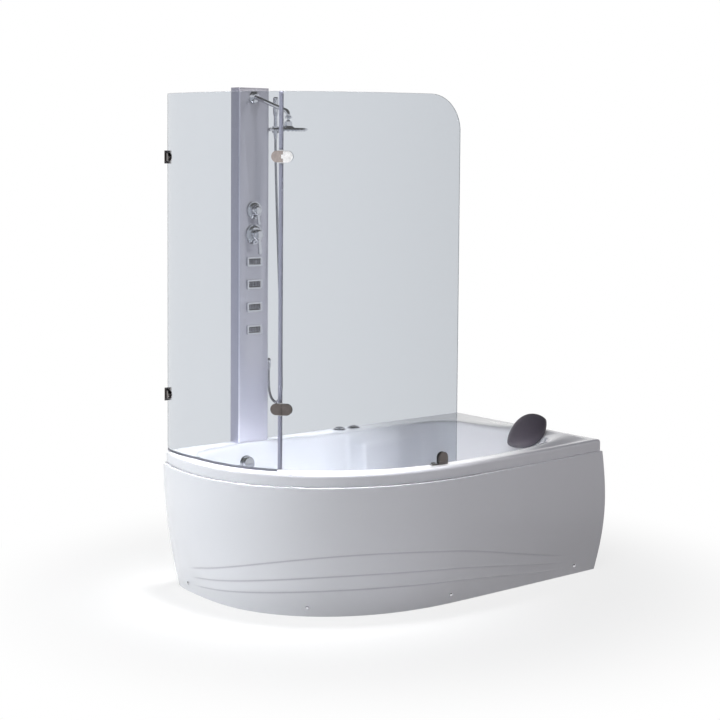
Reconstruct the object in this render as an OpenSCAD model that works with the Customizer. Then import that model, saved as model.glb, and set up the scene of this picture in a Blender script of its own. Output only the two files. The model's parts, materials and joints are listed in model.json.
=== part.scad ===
// Jetted bath with a curved apron, a two-panel curved glass screen and a shower column.
// The wall is the plane y = wall_y, the floor is z = 0, and x runs along the wall from the left end.

/* [Tub] */
// Length of the rim along the wall
tub_length = 1700; // [1620:10:1800]
// Depth from the wall to the furthest point of the rim
tub_depth = 1000; // [950:10:1080]
// Height of the rim above the floor
tub_height = 590; // [570:5:630]
// Height of the lip that turns down round the rim
lip_height = 50; // [40:1:60]
// Wall of the moulded shell
shell_wall = 6; // [4:0.5:8]
// Width of the rim under the glass
rim_width = 76; // [70:1:90]
// Width of the deck along the wall
deck_width = 116; // [106:1:130]
// Width of the deck behind the bath at the column
column_deck = 72; // [70:1:90]
// Width of the deck at the head end
head_deck = 185; // [160:5:220]
// Depth of the bath inside
bath_depth = 430; // [400:5:440]
// Rise of the headrest hump above the deck
hump_height = 26; // [10:1:32]
// Width of the armrest along the wall
arm_width = 62; // [30:1:70]

/* [Apron] */
// Wall of the apron
apron_wall = 5; // [4:0.5:6]
// How far the apron stands proud of the lip
apron_proud = 15; // [10:1:20]
// Height of the apron's lower edge above the floor
apron_lift = 2; // [1:1:6]
// Depth of the wave relief
wave_relief = 3.5; // [1:0.5:5]

/* [Screen] */
// Thickness of the glass
glass_wall = 6; // [5:0.5:8]
// Distance from the rim's edge to the middle of the glass
glass_inset = 36; // [32:1:40]
// Height of the screen above the rim
screen_height = 1490; // [1400:10:1500]
// Radius of the door's top corner
door_corner = 210; // [100:10:260]
// Gap under the glass
glass_lift = 9; // [8:1:14]

/* [Column] */
// Width of the column
column_width = 155; // [145:1:175]
// Depth of the column
column_depth = 62; // [58:1:64]
// Height of the column above the deck
column_height = 1525; // [1500:5:1560]
// Wall of the column's profile
column_wall = 2; // [1.5:0.5:3]
// Spacing of the body jets
body_jet_pitch = 98; // [85:1:105]
// Diameter of the shower head
head_diameter = 165; // [140:5:220]
// Outside diameter of the shower hose
hose_diameter = 12; // [10:0.5:12]

/* [Jets and waste] */
// Radius of a jet's body
jet_radius = 23; // [20:1:26]
// Outside radius of the water pipe
water_pipe_radius = 16; // [12:1:18]
// Outside radius of the air pipe
air_pipe_radius = 6; // [5:0.5:8]
// Outside radius of the waste pipe
waste_radius = 20; // [16:1:22]
// Radius of the drain hole
drain_radius = 26; // [22:1:30]

/* [Frame] */
// Side of the square steel tube
tube = 30; // [25:1:34]
// Wall of the steel tube
tube_wall = 2; // [1.5:0.5:3]
// Thickness of the board bonded under the shell
board = 18; // [12:1:22]

/* [Hidden] */
$fn = 48;
// Clearance of a running fit and of a seated piece
fit = 0.05;
seat = 0.3;
// Thickness of the clear pads between metal and glass
glass_pad = 0.7;

// Plan of the rim: a back-left arc, a superellipse quarter and a nearly straight front
wall_y = (tub_depth + apron_proud + 3) / 2;
left = (apron_proud - tub_length) / 2;
right = left + tub_length;
mid = (left + right) / 2;
bulge_reach = 51;
bulge_depth = 290;
quarter_length = 809;
quarter_power = 2.15;
front_fall = 60;
front_power = 1.4;
front_x = left + quarter_length;
bulge_y = wall_y - bulge_depth;
front_y = wall_y - tub_depth;
quarter_depth = tub_depth - bulge_depth;
back_arc = bulge_depth / sqrt(1 - pow(1 - bulge_reach / quarter_length, 2));
arc_end = 0.125;
quarter_end = 0.625;
track_steps = 48;
end_steps = 8;
wall_steps = 16;
stations = track_steps + end_steps + wall_steps;

function lerp(a, b, s) = a + (b - a) * s;
function clamp01(s) = max(0, min(1, s));
function smooth(s) = let(c = clamp01(s)) c * c * (3 - 2 * c);
function unit(v) = v / norm(v);
function flat(v) = [v.x, v.y];

// A point of the rim's edge, from t = 0 at the wall on the left to t = 1 at the right end
function edge(t) =
    t < arc_end ? let(y = bulge_depth * (1 - t / arc_end))
        [left + quarter_length * (1 - sqrt(1 - pow(y / back_arc, 2))), bulge_y + y]
    : t < quarter_end ? let(w = 90 * (t - arc_end) / (quarter_end - arc_end))
        [front_x - quarter_length * pow(cos(w), 2 / quarter_power),
            bulge_y - quarter_depth * pow(sin(w), 2 / quarter_power)]
    : let(s = (t - quarter_end) / (1 - quarter_end))
        [lerp(front_x, right, s), front_y + front_fall * pow(s, front_power)];

// The unit vector into the bath, which turns square to the wall and to the right end at the two ends
function inward(t) =
    let(e = 0.002, d = unit(edge(min(1, t + e)) - edge(max(0, t - e))))
    unit([-d.y * smooth((1 - t) / 0.08), d.x * smooth(t / 0.08)]);
function track(t, d) = edge(t) + d * inward(t);
function heading(t, d = 0) =
    let(e = 0.003, v = track(min(1, t + e), d) - track(max(0, t - e), d)) atan2(v.y, v.x);

// The bath inside the rim: four limits joined by a power mean, which rounds its corners
centre = [mid, wall_y - tub_depth / 2];
corner_power = 7;
end_front_y = front_y + front_fall + rim_width;
deck_change = [mid - 300, mid - 60];
function deck_at(x) = lerp(column_deck, deck_width, smooth((x - deck_change[0]) / (deck_change[1] - deck_change[0])));
function rim_point(i) =
    i < track_steps ? edge(i / track_steps)
    : i < track_steps + end_steps ? [right, lerp(front_y + front_fall, wall_y, (i - track_steps) / end_steps)]
    : [lerp(right, left + bulge_reach, (i - track_steps - end_steps) / wall_steps), wall_y];
function aim_point(i) =
    i < track_steps ? track(i / track_steps, rim_width)
    : i < track_steps + end_steps ? [right, lerp(end_front_y, wall_y, (i - track_steps) / end_steps)]
    : [lerp(right, left + bulge_reach + rim_width, (i - track_steps - end_steps) / wall_steps), wall_y];
function aim(i) = unit(aim_point(i) - centre);
function bath_radius(i) =
    let(b = aim_point(i) - centre, a = unit(b),
        own = i < track_steps ? norm(b) : a.x < 0 ? (left + bulge_reach + rim_width - centre.x) / a.x
            : a.y < 0 ? (end_front_y - centre.y) / a.y : 1e5,
        head = a.x > 0.01 ? (right - head_deck - centre.x) / a.x : 1e5,
        back = a.y > 0.01 ? (wall_y - deck_at(centre.x + 0.8 * b.x) - centre.y) / a.y : 1e5)
    pow(pow(own, -corner_power) + pow(head, -corner_power) + pow(back, -corner_power), -1 / corner_power);

// The bath's wall: f = 0 at the deck and 1 at the floor
side_slope = 75;
foot_slope = 95;
head_slope = 290;
floor_round = 140;
arm_span = [34, 82];
function arm_at(i) = let(a = aim(i), g = atan2(a.y, a.x))
    smooth((g - arm_span[0]) / 12) * smooth((arm_span[1] - g) / 14);
function bath_inset(i, f) =
    let(a = aim(i), slope = side_slope + (head_slope - side_slope) * pow(max(0, a.x), 3)
            + (foot_slope - side_slope) * pow(max(0, -a.x), 3))
    slope * f + floor_round * (1 - pow(1 - pow(f, 3), 1 / 3)) + arm_width * arm_at(i) * smooth(f / 0.13);
function bath(i, f) =
    let(p = centre + (bath_radius(i) - bath_inset(i, f)) * aim(i)) [p.x, p.y, tub_height - bath_depth * f];
function bath_normal(i, f) =
    unit(cross(bath(i + 0.2, f) - bath(i - 0.2, f), bath(i, f + 0.01) - bath(i, f - 0.01)));
floor_z = tub_height - bath_depth;

// Profile of the shell at one station, from under the lip over the deck to the middle of the floor
edge_round = 8;
inner_round = 14;
depth_steps = [0.045, 0.09, 0.14, 0.25, 0.4, 0.55, 0.7, 0.82, 0.91, 0.97, 1];
hump_heading = -14;
hump_spread = 24;
function hump(i, s) = let(a = aim(i), g = atan2(a.y, a.x))
    hump_height * exp(-pow((g - hump_heading) / hump_spread, 2)) * pow(sin(180 * clamp01(s)), 1.5);
function deck_point(i, s) =
    let(o = rim_point(i), q = centre + bath_radius(i) * aim(i), p = lerp(o, q, s))
    [p.x, p.y, tub_height + hump(i, s * 1.05 - 0.2)];
function shell_profile(i) =
    let(o = rim_point(i), q = centre + bath_radius(i) * aim(i), e = unit(q - o), w = norm(q - o))
    concat(
        [[o.x, o.y, tub_height - lip_height], [o.x, o.y, tub_height - edge_round]],
        [let(p = o + 0.3 * edge_round * e) [p.x, p.y, tub_height - 0.3 * edge_round]],
        [deck_point(i, edge_round / w), deck_point(i, 0.4), deck_point(i, 0.7), deck_point(i, 1 - inner_round / w)],
        [let(p = q - 0.3 * inner_round * e, h = deck_point(i, 1).z) [p.x, p.y, h - 0.3 * inner_round]],
        [for (f = depth_steps) bath(i, f)],
        [let(m = lerp(flat(bath(i, 1)), centre, 0.5)) [m.x, m.y, floor_z]]
    );

// Both skins of a moulded sheet: the second one lies a wall's thickness behind the first
function behind(row, e, j, wall) =
    let(d = row[min(j + 1, len(row) - 1)] - row[max(j - 1, 0)],
        h = d.x * e.x + d.y * e.y, n = unit([d.z, -h]))
    row[j] + wall * [n[0] * e.x, n[0] * e.y, n[1]];
function quad(a, b, c, d) = [[a, b, c], [a, c, d]];
module sheet(rows, dirs, wall, closed, centre_point = undef) {
    n = len(rows);
    m = len(rows[0]);
    front = [for (row = rows) each row];
    back = [for (i = [0:n - 1]) for (j = [0:m - 1]) behind(rows[i], dirs[i][j], j, wall)];
    tips = closed ? [centre_point, centre_point - [0, 0, wall]] : [];
    k = n * m;
    last = closed ? n - 1 : n - 2;
    faces = [
        for (i = [0:last]) let(a = i * m, b = ((i + 1) % n) * m) each [
            for (j = [0:m - 2]) each quad(a + j, a + j + 1, b + j + 1, b + j),
            for (j = [0:m - 2]) each quad(k + a + j, k + b + j, k + b + j + 1, k + a + j + 1),
            each quad(a, b, k + b, k + a),
            if (closed) [a + m - 1, 2 * k, b + m - 1],
            if (closed) [k + a + m - 1, k + b + m - 1, 2 * k + 1],
            if (!closed) each quad(a + m - 1, k + a + m - 1, k + b + m - 1, b + m - 1)
        ],
        if (!closed) for (j = [0:m - 2]) each quad(j, k + j, k + j + 1, j + 1),
        if (!closed) for (j = [0:m - 2]) let(a = (n - 1) * m)
            each quad(a + j, a + j + 1, k + a + j + 1, k + a + j)
    ];
    polyhedron(points = concat(front, back, tips), faces = faces, convexity = 12);
}

// Small tools for placing round pieces
module along(p, q) {
    v = q - p;
    translate(p) rotate([0, acos(v.z / norm(v)), atan2(v.y, v.x)]) children();
}
module rod(p, q, r) {
    along(p, q) cylinder(h = norm(q - p), r = r);
}
module pipe(points, r, bend = 1.15) {
    for (i = [0:len(points) - 2]) rod(points[i], points[i + 1], r);
    if (len(points) > 2) for (i = [1:len(points) - 2]) translate(points[i]) sphere(r = r * bend, $fn = 32);
}
// A round tube of flat faces swept along a path
module swept(path, r, sides, up = [0, 0, 1]) {
    n = len(path);
    rings = [for (i = [0:n - 1])
        let(t = unit(path[min(n - 1, i + 1)] - path[max(0, i - 1)]), w = cross(t, up))
        each [for (j = [0:sides - 1]) path[i] + r * (cos(360 * j / sides) * up + sin(360 * j / sides) * w)]];
    polyhedron(points = rings, faces = concat(
        [for (i = [0:n - 2]) for (j = [0:sides - 1]) let(a = i * sides, b = a + sides, c = (j + 1) % sides)
            each quad(a + j, b + j, b + c, a + c)],
        [[for (j = [0:sides - 1]) j]], [[for (j = [sides - 1:-1:0]) (n - 1) * sides + j]]), convexity = 10);
}
module on_bath(i, f) {
    p = bath(i, f);
    n = bath_normal(i, f);
    translate(p) rotate([0, acos(n.z), atan2(n.y, n.x)]) children();
}
module on_track(t, d, z) {
    p = track(t, d);
    translate([p.x, p.y, z]) rotate([0, 0, heading(t, d)]) children();
}
module rounded_box(size, r) {
    linear_extrude(size.z) rounded_rect(size.x, size.y, r);
}
module rounded_rect(w, d, r) {
    for (sx = [-1, 1]) for (sy = [-1, 1]) translate([sx * (w / 2 - r), sy * (d / 2 - r)]) circle(r = r);
    square([w - 2 * r, d], center = true);
    square([w, d - 2 * r], center = true);
}

// Places on the deck and in the bath
control_y = wall_y - 48;
regulator_at = [mid + 84, control_y];
button_at = [mid + 167, control_y];
control_radius = 29;
control_hole = 17;
drain_share = 0.2647;
drain_at = [lerp(left, right, drain_share), centre.y + 30];
overflow_station = 70.2;
overflow_drop = 0.2;
overflow_radius = 36;
overflow_hole = 15;
jet_drop = 0.58;
jet_stations = [24, 34, 61.5, 65];
suction_station = 58.6;
suction_drop = 0.64;
suction_radius = 30;

/* Tub shell */
module tub_shell() {
    color("white") difference() {
        sheet([for (i = [0:stations - 1]) shell_profile(i)],
            [for (i = [0:stations - 1])
                let(o = rim_point(i), q = centre + bath_radius(i) * aim(i), e = unit(q - o), a = -aim(i))
                [for (j = [0:7 + len(depth_steps) + 1]) j < 8 ? e : a]],
            shell_wall, true, [centre.x, centre.y, floor_z]);
        for (p = [regulator_at, button_at])
            translate([p.x, p.y, tub_height - 2 * shell_wall]) cylinder(h = 3 * shell_wall, r = control_hole);
        translate([drain_at.x, drain_at.y, floor_z - 2 * shell_wall])
            cylinder(h = 3 * shell_wall, r = drain_radius);
        on_bath(overflow_station, overflow_drop)
            translate([0, 0, -3 * shell_wall]) cylinder(h = 5 * shell_wall, r = overflow_hole);
        for (i = jet_stations) on_bath(i, jet_drop)
            translate([0, 0, -3 * shell_wall]) cylinder(h = 5 * shell_wall, r = jet_radius + seat);
        on_bath(suction_station, suction_drop)
            translate([0, 0, -3 * shell_wall]) cylinder(h = 5 * shell_wall, r = suction_radius + seat);
    }
}

board_z = floor_z - shell_wall - board;
board_inset = 12;
module base_board() {
    color("burlywood") translate([0, 0, board_z]) difference() {
        linear_extrude(board)
            polygon([for (i = [0:2:stations - 1]) let(p = bath(i, 1)) flat(p) - board_inset * aim(i)]);
        translate([drain_at.x, drain_at.y, -1]) cylinder(h = board + 2, r = drain_radius + 22);
    }
}

/* Apron */
tuck_left = 84;
tuck_right = 24;
tuck_corner = 22;
apron_belly = 30;
tuck_power = 1.8;
apron_top = tub_height - lip_height - 0.6;
ledge_reach = 24;
wave_half = 0.38;
wave_lines = [[89, 27], [126, 50], [170, 92]];
function apron_w(z) = clamp01((z - apron_lift) / (apron_top - apron_lift));
function tuck(t) = tuck_left + (tuck_right - tuck_left) * pow(t, 3) - tuck_corner * exp(-pow(t / 0.06, 2));
function apron_offset(t, z) =
    let(w = apron_w(z))
    -apron_proud - apron_belly * t * t * sin(180 * w) + (apron_proud + tuck(t)) * pow(1 - w, tuck_power);
function wave_z(k, t) = wave_lines[k][0]
    + wave_lines[k][1] * pow(cos(90 * min(1, abs(t - 0.51) / (wave_half + 0.035 * k))), 2);
function wave_fade(t) = smooth(t / 0.07) * smooth((0.92 - t) / 0.12);
function apron_point(t, z, out = 0) = let(p = track(t, apron_offset(t, z) - out)) [p.x, p.y, z];
function apron_profile(t) =
    let(fade = wave_relief * wave_fade(t), high = wave_z(2, t) + 5, top = apron_point(t, apron_top),
        in = inward(t))
    concat(
        [apron_point(t, apron_lift)],
        [for (k = [0:2]) each [apron_point(t, wave_z(k, t) - 4), apron_point(t, wave_z(k, t) + 5, fade)]],
        [for (s = [0.3, 0.6, 0.85]) apron_point(t, lerp(high, apron_top, s))],
        [apron_point(t, apron_top - 4), top + 3 * [in.x, in.y, 0],
            top + (apron_proud + ledge_reach) * [in.x, in.y, 0]]
    );
module apron() {
    n = track_steps;
    rows = [for (i = [0:n]) apron_profile(i / n)];
    color("white") difference() {
        sheet(rows, [for (i = [0:n]) [for (p = rows[i]) inward(i / n)]], apron_wall, false);
        for (t = screw_places) at_apron_screw(t) screw_axis(t)
            translate([0, 0, -4 * apron_wall]) cylinder(h = 8 * apron_wall, r = screw_radius + seat);
    }
}

screw_places = [0.05, 0.36, 0.63, 0.94];
screw_z = 42;
screw_radius = 2.2;
bracket_size = [44, 40, 3];
bracket_height = 70;
bracket_back = 18;
module at_apron_screw(t) {
    p = apron_point(t, screw_z);
    translate([p.x, p.y, 0]) rotate([0, 0, heading(t, apron_offset(t, screw_z))]) children();
}
// The apron's lean at a screw, and the screw's axis square to it, pointing out
function apron_lean(t) = atan2(apron_offset(t, screw_z - 10) - apron_offset(t, screw_z + 10), 20);
module screw_axis(t) {
    translate([0, 0, screw_z]) rotate([90 + apron_lean(t), 0, 0]) children();
}
module apron_brackets() {
    color("silver") for (t = screw_places) at_apron_screw(t) {
        difference() {
            translate([0, apron_wall + bracket_back + bracket_size.y / 2, 0])
                rounded_box([bracket_size.x, bracket_size.y, bracket_size.z], 4);
            translate([0, apron_wall + bracket_back + bracket_size.y * 0.6, -1]) cylinder(h = 6, r = 4.2);
        }
        difference() {
            translate([-bracket_size.x / 2, apron_wall + bracket_back, 0])
                cube([bracket_size.x, bracket_size.z, bracket_height]);
            screw_axis(t) translate([0, 0, -60]) cylinder(h = 60, r = screw_radius + seat);
        }
    }
}
module apron_screws() {
    color("silver") for (t = screw_places) at_apron_screw(t) screw_axis(t) {
        translate([0, 0, 0.8]) cylinder(h = 3, r1 = 7.5, r2 = 6);
        translate([0, 0, -apron_wall - bracket_back - 14])
            cylinder(h = apron_wall + bracket_back + 15, r = screw_radius);
        translate([0, 0, -apron_wall - bracket_back - 12]) cylinder(h = 4, r = 5, $fn = 6);
    }
}

/* Steel frame */
rail_gap = 260;
rail_reach = [-525, 235];
rail_span = [mid + rail_reach[0], mid + rail_reach[1]];
cross_places = [mid - 480, mid - 130, mid + 195];
cross_length = 510;
rail_z = board_z - tube;
cross_z = rail_z - tube;
foot_inset = 30;
foot_radius = 24;
post_places = [mid - 640, mid + 20, mid + 700];
module square_tube(length) {
    difference() {
        translate([-tube / 2, -tube / 2, 0]) cube([tube, tube, length]);
        translate([-tube / 2 + tube_wall, -tube / 2 + tube_wall, -1])
            cube([tube - 2 * tube_wall, tube - 2 * tube_wall, length + 2]);
    }
}
module frame_rails() {
    color("dimgray") for (s = [-1, 1])
        translate([rail_span[0], centre.y + s * rail_gap / 2, rail_z + tube / 2]) rotate([0, 90, 0])
            square_tube(rail_span[1] - rail_span[0]);
}
module frame_cross_members() {
    color("dimgray") for (x = cross_places)
        translate([x, centre.y - cross_length / 2, cross_z + tube / 2]) rotate([-90, 0, 0])
            difference() {
                square_tube(cross_length);
                for (y = [foot_inset, cross_length - foot_inset])
                    translate([0, tube, y]) rotate([90, 0, 0]) cylinder(h = 2 * tube, r = 6 + seat);
            }
}
module levelling_feet() {
    for (x = cross_places) for (s = [-1, 1])
        translate([x, centre.y + s * (cross_length / 2 - foot_inset), 0]) {
            color("dimgray") cylinder(h = 8, r1 = foot_radius, r2 = foot_radius - 4);
            color("silver") translate([0, 0, 8]) cylinder(h = cross_z + tube + 10 - 8, r = 6);
            color("silver") translate([0, 0, cross_z - 10 - seat]) cylinder(h = 10, r = 10, $fn = 6);
        }
}
module rim_posts() {
    module post(p) {
        translate([p.x, p.y, 0]) {
            translate([0, 0, 3]) square_tube(tub_height - shell_wall - seat - 3);
            translate([-tube / 2 - 10, -tube / 2 - 4, 0]) cube([tube + 20, tube + 8, 3]);
        }
    }
    color("dimgray") {
        for (x = post_places) post([x, wall_y - tube / 2 - 10]);
        post([right - tube / 2 - 8, centre.y - 330]);
    }
}

/* Waste and overflow */
trap_z = 52;
waste_end = wall_y - 20;
spigot = 42;
waste_shoulder = 2;
waste_collar = [112, 90];
module drain_flange() {
    color("silver") translate([drain_at.x, drain_at.y, floor_z]) {
        difference() {
            union() {
                translate([0, 0, seat / 2]) cylinder(h = 3, r = drain_radius + 9);
                translate([0, 0, -board - 16]) cylinder(h = board + 17, r = drain_radius - seat);
            }
            translate([0, 0, -board - 17]) cylinder(h = board + 19, r = drain_radius - 6);
            translate([0, 0, 0.4]) cylinder(h = 5, r1 = drain_radius - 6, r2 = drain_radius + 2);
        }
        for (a = [0, 90]) rotate([0, 0, a]) translate([0, 0, -11]) difference() {
            cube([2 * drain_radius - 10, 3, 3], center = true);
            cylinder(h = 8, r = 5, center = true);
        }
        translate([0, 0, -12.5]) difference() {
            cylinder(h = 3, r = 7);
            translate([0, 0, -1]) cylinder(h = 5, r = 4 + fit);
        }
    }
}
plug_rise = 12;
module drain_plug() {
    color("silver") translate([drain_at.x, drain_at.y, floor_z + 3 + 2 * seat]) {
        difference() {
            cylinder(h = 5, r1 = drain_radius + 4, r2 = drain_radius + 2);
            translate([0, 0, 4.2]) cylinder(h = 2, r = drain_radius - 6);
        }
        translate([0, 0, -36]) cylinder(h = 37, r = 4);
    }
}
module waste_trap() {
    top = floor_z - shell_wall - seat;
    color("gainsboro") difference() {
        union() {
            translate([drain_at.x, drain_at.y, trap_z - waste_radius - 6])
                cylinder(h = top - trap_z + waste_radius + 6, r = drain_radius + 12);
            translate([drain_at.x, drain_at.y, top - 13]) cylinder(h = 12, r = drain_radius + 16);
            rod([drain_at.x, drain_at.y, trap_z], [drain_at.x, waste_end - spigot, trap_z],
                waste_radius + waste_shoulder);
            rod([drain_at.x, waste_end - spigot - 1, trap_z], [drain_at.x, waste_end, trap_z], waste_radius);
            rod([drain_at.x, waste_end - waste_collar[0], trap_z],
                [drain_at.x, waste_end - waste_collar[1], trap_z], waste_radius + waste_shoulder + 4);
        }
        translate([drain_at.x, drain_at.y, trap_z - waste_radius - 2])
            cylinder(h = 200, r = drain_radius + seat);
        rod([drain_at.x, drain_at.y, trap_z], [drain_at.x, waste_end + 1, trap_z], waste_radius - 3);
    }
}
module overflow_bezel() {
    color("silver") on_bath(overflow_station, overflow_drop) {
        difference() {
            union() {
                translate([0, 0, 1.6]) cylinder(h = 5, r1 = overflow_radius, r2 = overflow_radius - 4);
                translate([0, 0, -20]) cylinder(h = 22, r = overflow_hole - seat);
            }
            translate([0, 0, -21]) cylinder(h = 30, r = 9);
        }
    }
}
module overflow_knob() {
    color("silver") on_bath(overflow_station, overflow_drop) translate([0, 0, 7]) {
        difference() {
            union() {
                cylinder(h = 12, r1 = overflow_radius - 9, r2 = overflow_radius - 6);
                translate([0, 0, 12]) cylinder(h = 4, r1 = overflow_radius - 6, r2 = overflow_radius - 12);
            }
            for (s = [-1, 1]) translate([s * (overflow_radius + 3), 0, -1]) cylinder(h = 20, r = 17);
        }
        translate([0, 0, -17]) cylinder(h = 18, r = 9 - fit);
    }
}
function on_bath_at(i, f, d) = bath(i, f) + d * bath_normal(i, f);
module overflow_pipe() {
    a = on_bath_at(overflow_station, overflow_drop, -9);
    b = on_bath_at(overflow_station, overflow_drop, -24);
    corner = [b.x, b.y + 15, b.z];
    low = [corner.x, corner.y, trap_z];
    color("gainsboro") difference() {
        union() {
            along(a, b) cylinder(h = 14, r = overflow_hole + 7);
            rod(b, corner, 15);
            translate(corner) sphere(r = 16.5, $fn = 32);
            rod(corner, low, 14);
            translate(low) sphere(r = 16, $fn = 32);
            rod(low, [drain_at.x, low.y, low.z], 14);
        }
        rod([drain_at.x, drain_at.y, trap_z], [drain_at.x, waste_end, trap_z], waste_radius + waste_shoulder + seat);
        along(on_bath_at(overflow_station, overflow_drop, 5), b) cylinder(h = 27, r = overflow_hole);
    }
}

/* Deck controls */
module deck_bezels() {
    module bezel(p, bore) {
        translate([p.x, p.y, tub_height + seat]) difference() {
            union() {
                cylinder(h = 3, r = control_radius);
                translate([0, 0, 3]) cylinder(h = 3, r1 = control_radius, r2 = control_radius - 3);
                translate([0, 0, -46]) cylinder(h = 47, r = control_hole - seat);
            }
            translate([0, 0, -14]) cylinder(h = 30, r = bore);
            translate([0, 0, 2]) cylinder(h = 5, r = control_radius - 6);
        }
    }
    color("silver") {
        bezel(regulator_at, 11);
        bezel(button_at, 11);
    }
}
module air_regulator_knob() {
    color("silver") translate([regulator_at.x, regulator_at.y, tub_height + 2.8]) {
        difference() {
            cylinder(h = 8, r1 = control_radius - 7, r2 = control_radius - 9);
            translate([0, 0, 3]) cylinder(h = 8, r = control_radius - 13);
        }
        translate([-(control_radius - 12), -2.5, 2]) cube([2 * (control_radius - 12), 5, 5]);
        translate([0, 0, -12]) cylinder(h = 13, r = 11 - fit);
    }
}
button_travel = 4;
module push_button() {
    color("silver") translate([button_at.x, button_at.y, tub_height + seat + 2 + button_travel + seat]) {
        difference() {
            cylinder(h = 4, r1 = control_radius - 7, r2 = control_radius - 9);
            translate([0, 0, 43]) sphere(r = 41, $fn = 64);
        }
        translate([0, 0, -10]) cylinder(h = 11, r = 11 - fit);
    }
}

/* Pump, pipes and jets */
pump_at = [mid + 560, centre.y - 40];
motor_radius = 62;
housing_radius = 76;
housing_length = 70;
inlet_length = 41;
inlet_radius = 30;
pump_axis_z = 96;
pump_out_z = 190;
base_size = [300, 120, 14];
base_holes = [20, 16];
base_hole = 4.2;
module pump_motor() {
    color("slategray") translate([pump_at.x + 20, pump_at.y, pump_axis_z]) rotate([0, 90, 0]) {
        difference() {
            cylinder(h = 190, r = motor_radius);
            for (a = [0:15:345]) rotate([0, 0, a]) translate([motor_radius - 3, -1.5, 12]) cube([6, 3, 140]);
        }
        translate([0, 0, 190]) cylinder(h = 24, r1 = motor_radius - 2, r2 = motor_radius - 12);
    }
    color("black") translate([pump_at.x + 60, pump_at.y - 34, pump_axis_z + motor_radius - 12]) cube([90, 68, 34]);
}
module pump_housing() {
    color("dimgray") difference() {
        union() {
            translate([pump_at.x + 10 - housing_length, pump_at.y, pump_axis_z]) rotate([0, 90, 0])
                cylinder(h = housing_length, r = housing_radius);
            translate([pump_at.x + 10, pump_at.y, pump_axis_z]) rotate([0, 90, 0])
                cylinder(h = 10 - seat, r = housing_radius - 10);
            translate([pump_at.x + 11 - housing_length - inlet_length, pump_at.y, pump_axis_z]) rotate([0, 90, 0])
                cylinder(h = inlet_length, r = inlet_radius);
            translate([pump_at.x - 25, pump_at.y, pump_axis_z]) cylinder(h = pump_out_z - pump_axis_z, r = 26);
        }
        translate([pump_at.x + 10 - housing_length - inlet_length, pump_at.y, pump_axis_z]) rotate([0, 90, 0])
            cylinder(h = inlet_length + 19, r = inlet_radius - 6);
        translate([pump_at.x - 25, pump_at.y, pump_axis_z + 60])
            cylinder(h = pump_out_z - pump_axis_z, r = water_pipe_radius + seat);
    }
}
module pump_base() {
    color("black") {
        translate([pump_at.x - 70, pump_at.y - 60, 0]) difference() {
            cube(base_size);
            for (x = [base_holes.x, base_size.x - base_holes.x]) for (y = [base_holes.y, base_size.y - base_holes.y])
                translate([x, y, -1]) cylinder(h = base_size.z + 2, r = base_hole);
        }
        difference() {
            for (x = [-45, 60, 170]) translate([pump_at.x + x, pump_at.y - 40, 13]) cube([22, 80, pump_axis_z - 40]);
            translate([pump_at.x - 71, pump_at.y, pump_axis_z]) rotate([0, 90, 0])
                cylinder(h = 82, r = housing_radius + seat);
            translate([pump_at.x + 11, pump_at.y, pump_axis_z]) rotate([0, 90, 0])
                cylinder(h = 300, r = motor_radius + seat);
        }
    }
}
module suction_fitting() {
    mouth = [pump_at.x - 99, pump_at.y, pump_axis_z];
    color("gainsboro") {
        on_bath(suction_station, suction_drop) {
            difference() {
                union() {
                    translate([0, 0, 2.4]) cylinder(h = 2, r1 = suction_radius + 5, r2 = suction_radius + 8);
                    translate([0, 0, 4.4]) cylinder(h = 3, r1 = suction_radius + 8, r2 = suction_radius + 5);
                    translate([0, 0, -52]) cylinder(h = 55, r = suction_radius);
                }
                for (a = [0:45:315]) rotate([0, 0, a]) translate([20, 0, -5]) cylinder(h = 20, r = 3);
                for (a = [0:60:300]) rotate([0, 0, a]) translate([10, 0, -5]) cylinder(h = 20, r = 3);
                translate([0, 0, -48]) cylinder(h = 46, r = suction_radius - 4);
            }
        }
        pipe([on_bath_at(suction_station, suction_drop, -50), suction_back, [suction_back.x, suction_back.y, mouth.z],
            [mouth.x - 55, mouth.y, mouth.z], mouth + [12, 0, 0]], 23);
    }
}
jet_reach = 56;
manifold_out = jet_reach + 30;
air_out = 30;
air_drop = 0.47;
air_sides = 10;
air_near = 64;
// Stations the air pipe runs past, from the front jets round the foot to the back jets
air_stations = [for (k = [0:48]) let(i = lerp(jet_stations[1], jet_stations[2] - stations, k / 48))
    i < 0 ? i + stations : i];
// A place outside the bath's wall at the height of the jets
function outside(i, d, z, f = jet_drop) = let(p = bath(i, f), n = bath_normal(i, f), e = unit([n.x, n.y]))
    [p.x - d * e.x, p.y - d * e.y, z];
module jet_bodies() {
    color("gainsboro") for (i = jet_stations) on_bath(i, jet_drop) difference() {
        union() {
            translate([0, 0, 2]) cylinder(h = 4, r1 = jet_radius + 8, r2 = jet_radius + 5);
            translate([0, 0, -jet_reach + 12]) cylinder(h = jet_reach - 9, r = jet_radius);
            translate([0, 0, -jet_reach]) cylinder(h = 14, r = 12);
            translate([0, 0, -shell_wall - 16]) cylinder(h = 12, r = jet_radius + 8, $fn = 6);
        }
        translate([0, 0, -14]) cylinder(h = 30, r = 15);
        translate([0, 0, -30]) cylinder(h = 17, r = 11.5);
        translate([0, 0, -jet_reach - 1]) cylinder(h = 34, r = 7);
    }
}
module jet_nozzle(i) {
    color("silver") on_bath(i, jet_drop) difference() {
        union() {
            intersection() {
                sphere(r = 15 - 2 * fit, $fn = 64);
                translate([0, 0, -5]) cylinder(h = 14, r = 20);
            }
            translate([0, 0, 8]) cylinder(h = 4, r1 = 11.6, r2 = 10);
        }
        translate([0, 0, -20]) cylinder(h = 40, r = 5.5);
    }
}
back_gap = 84;
back_run = wall_y - back_gap;
suction_back = on_bath_at(suction_station, suction_drop, -52);
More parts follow.
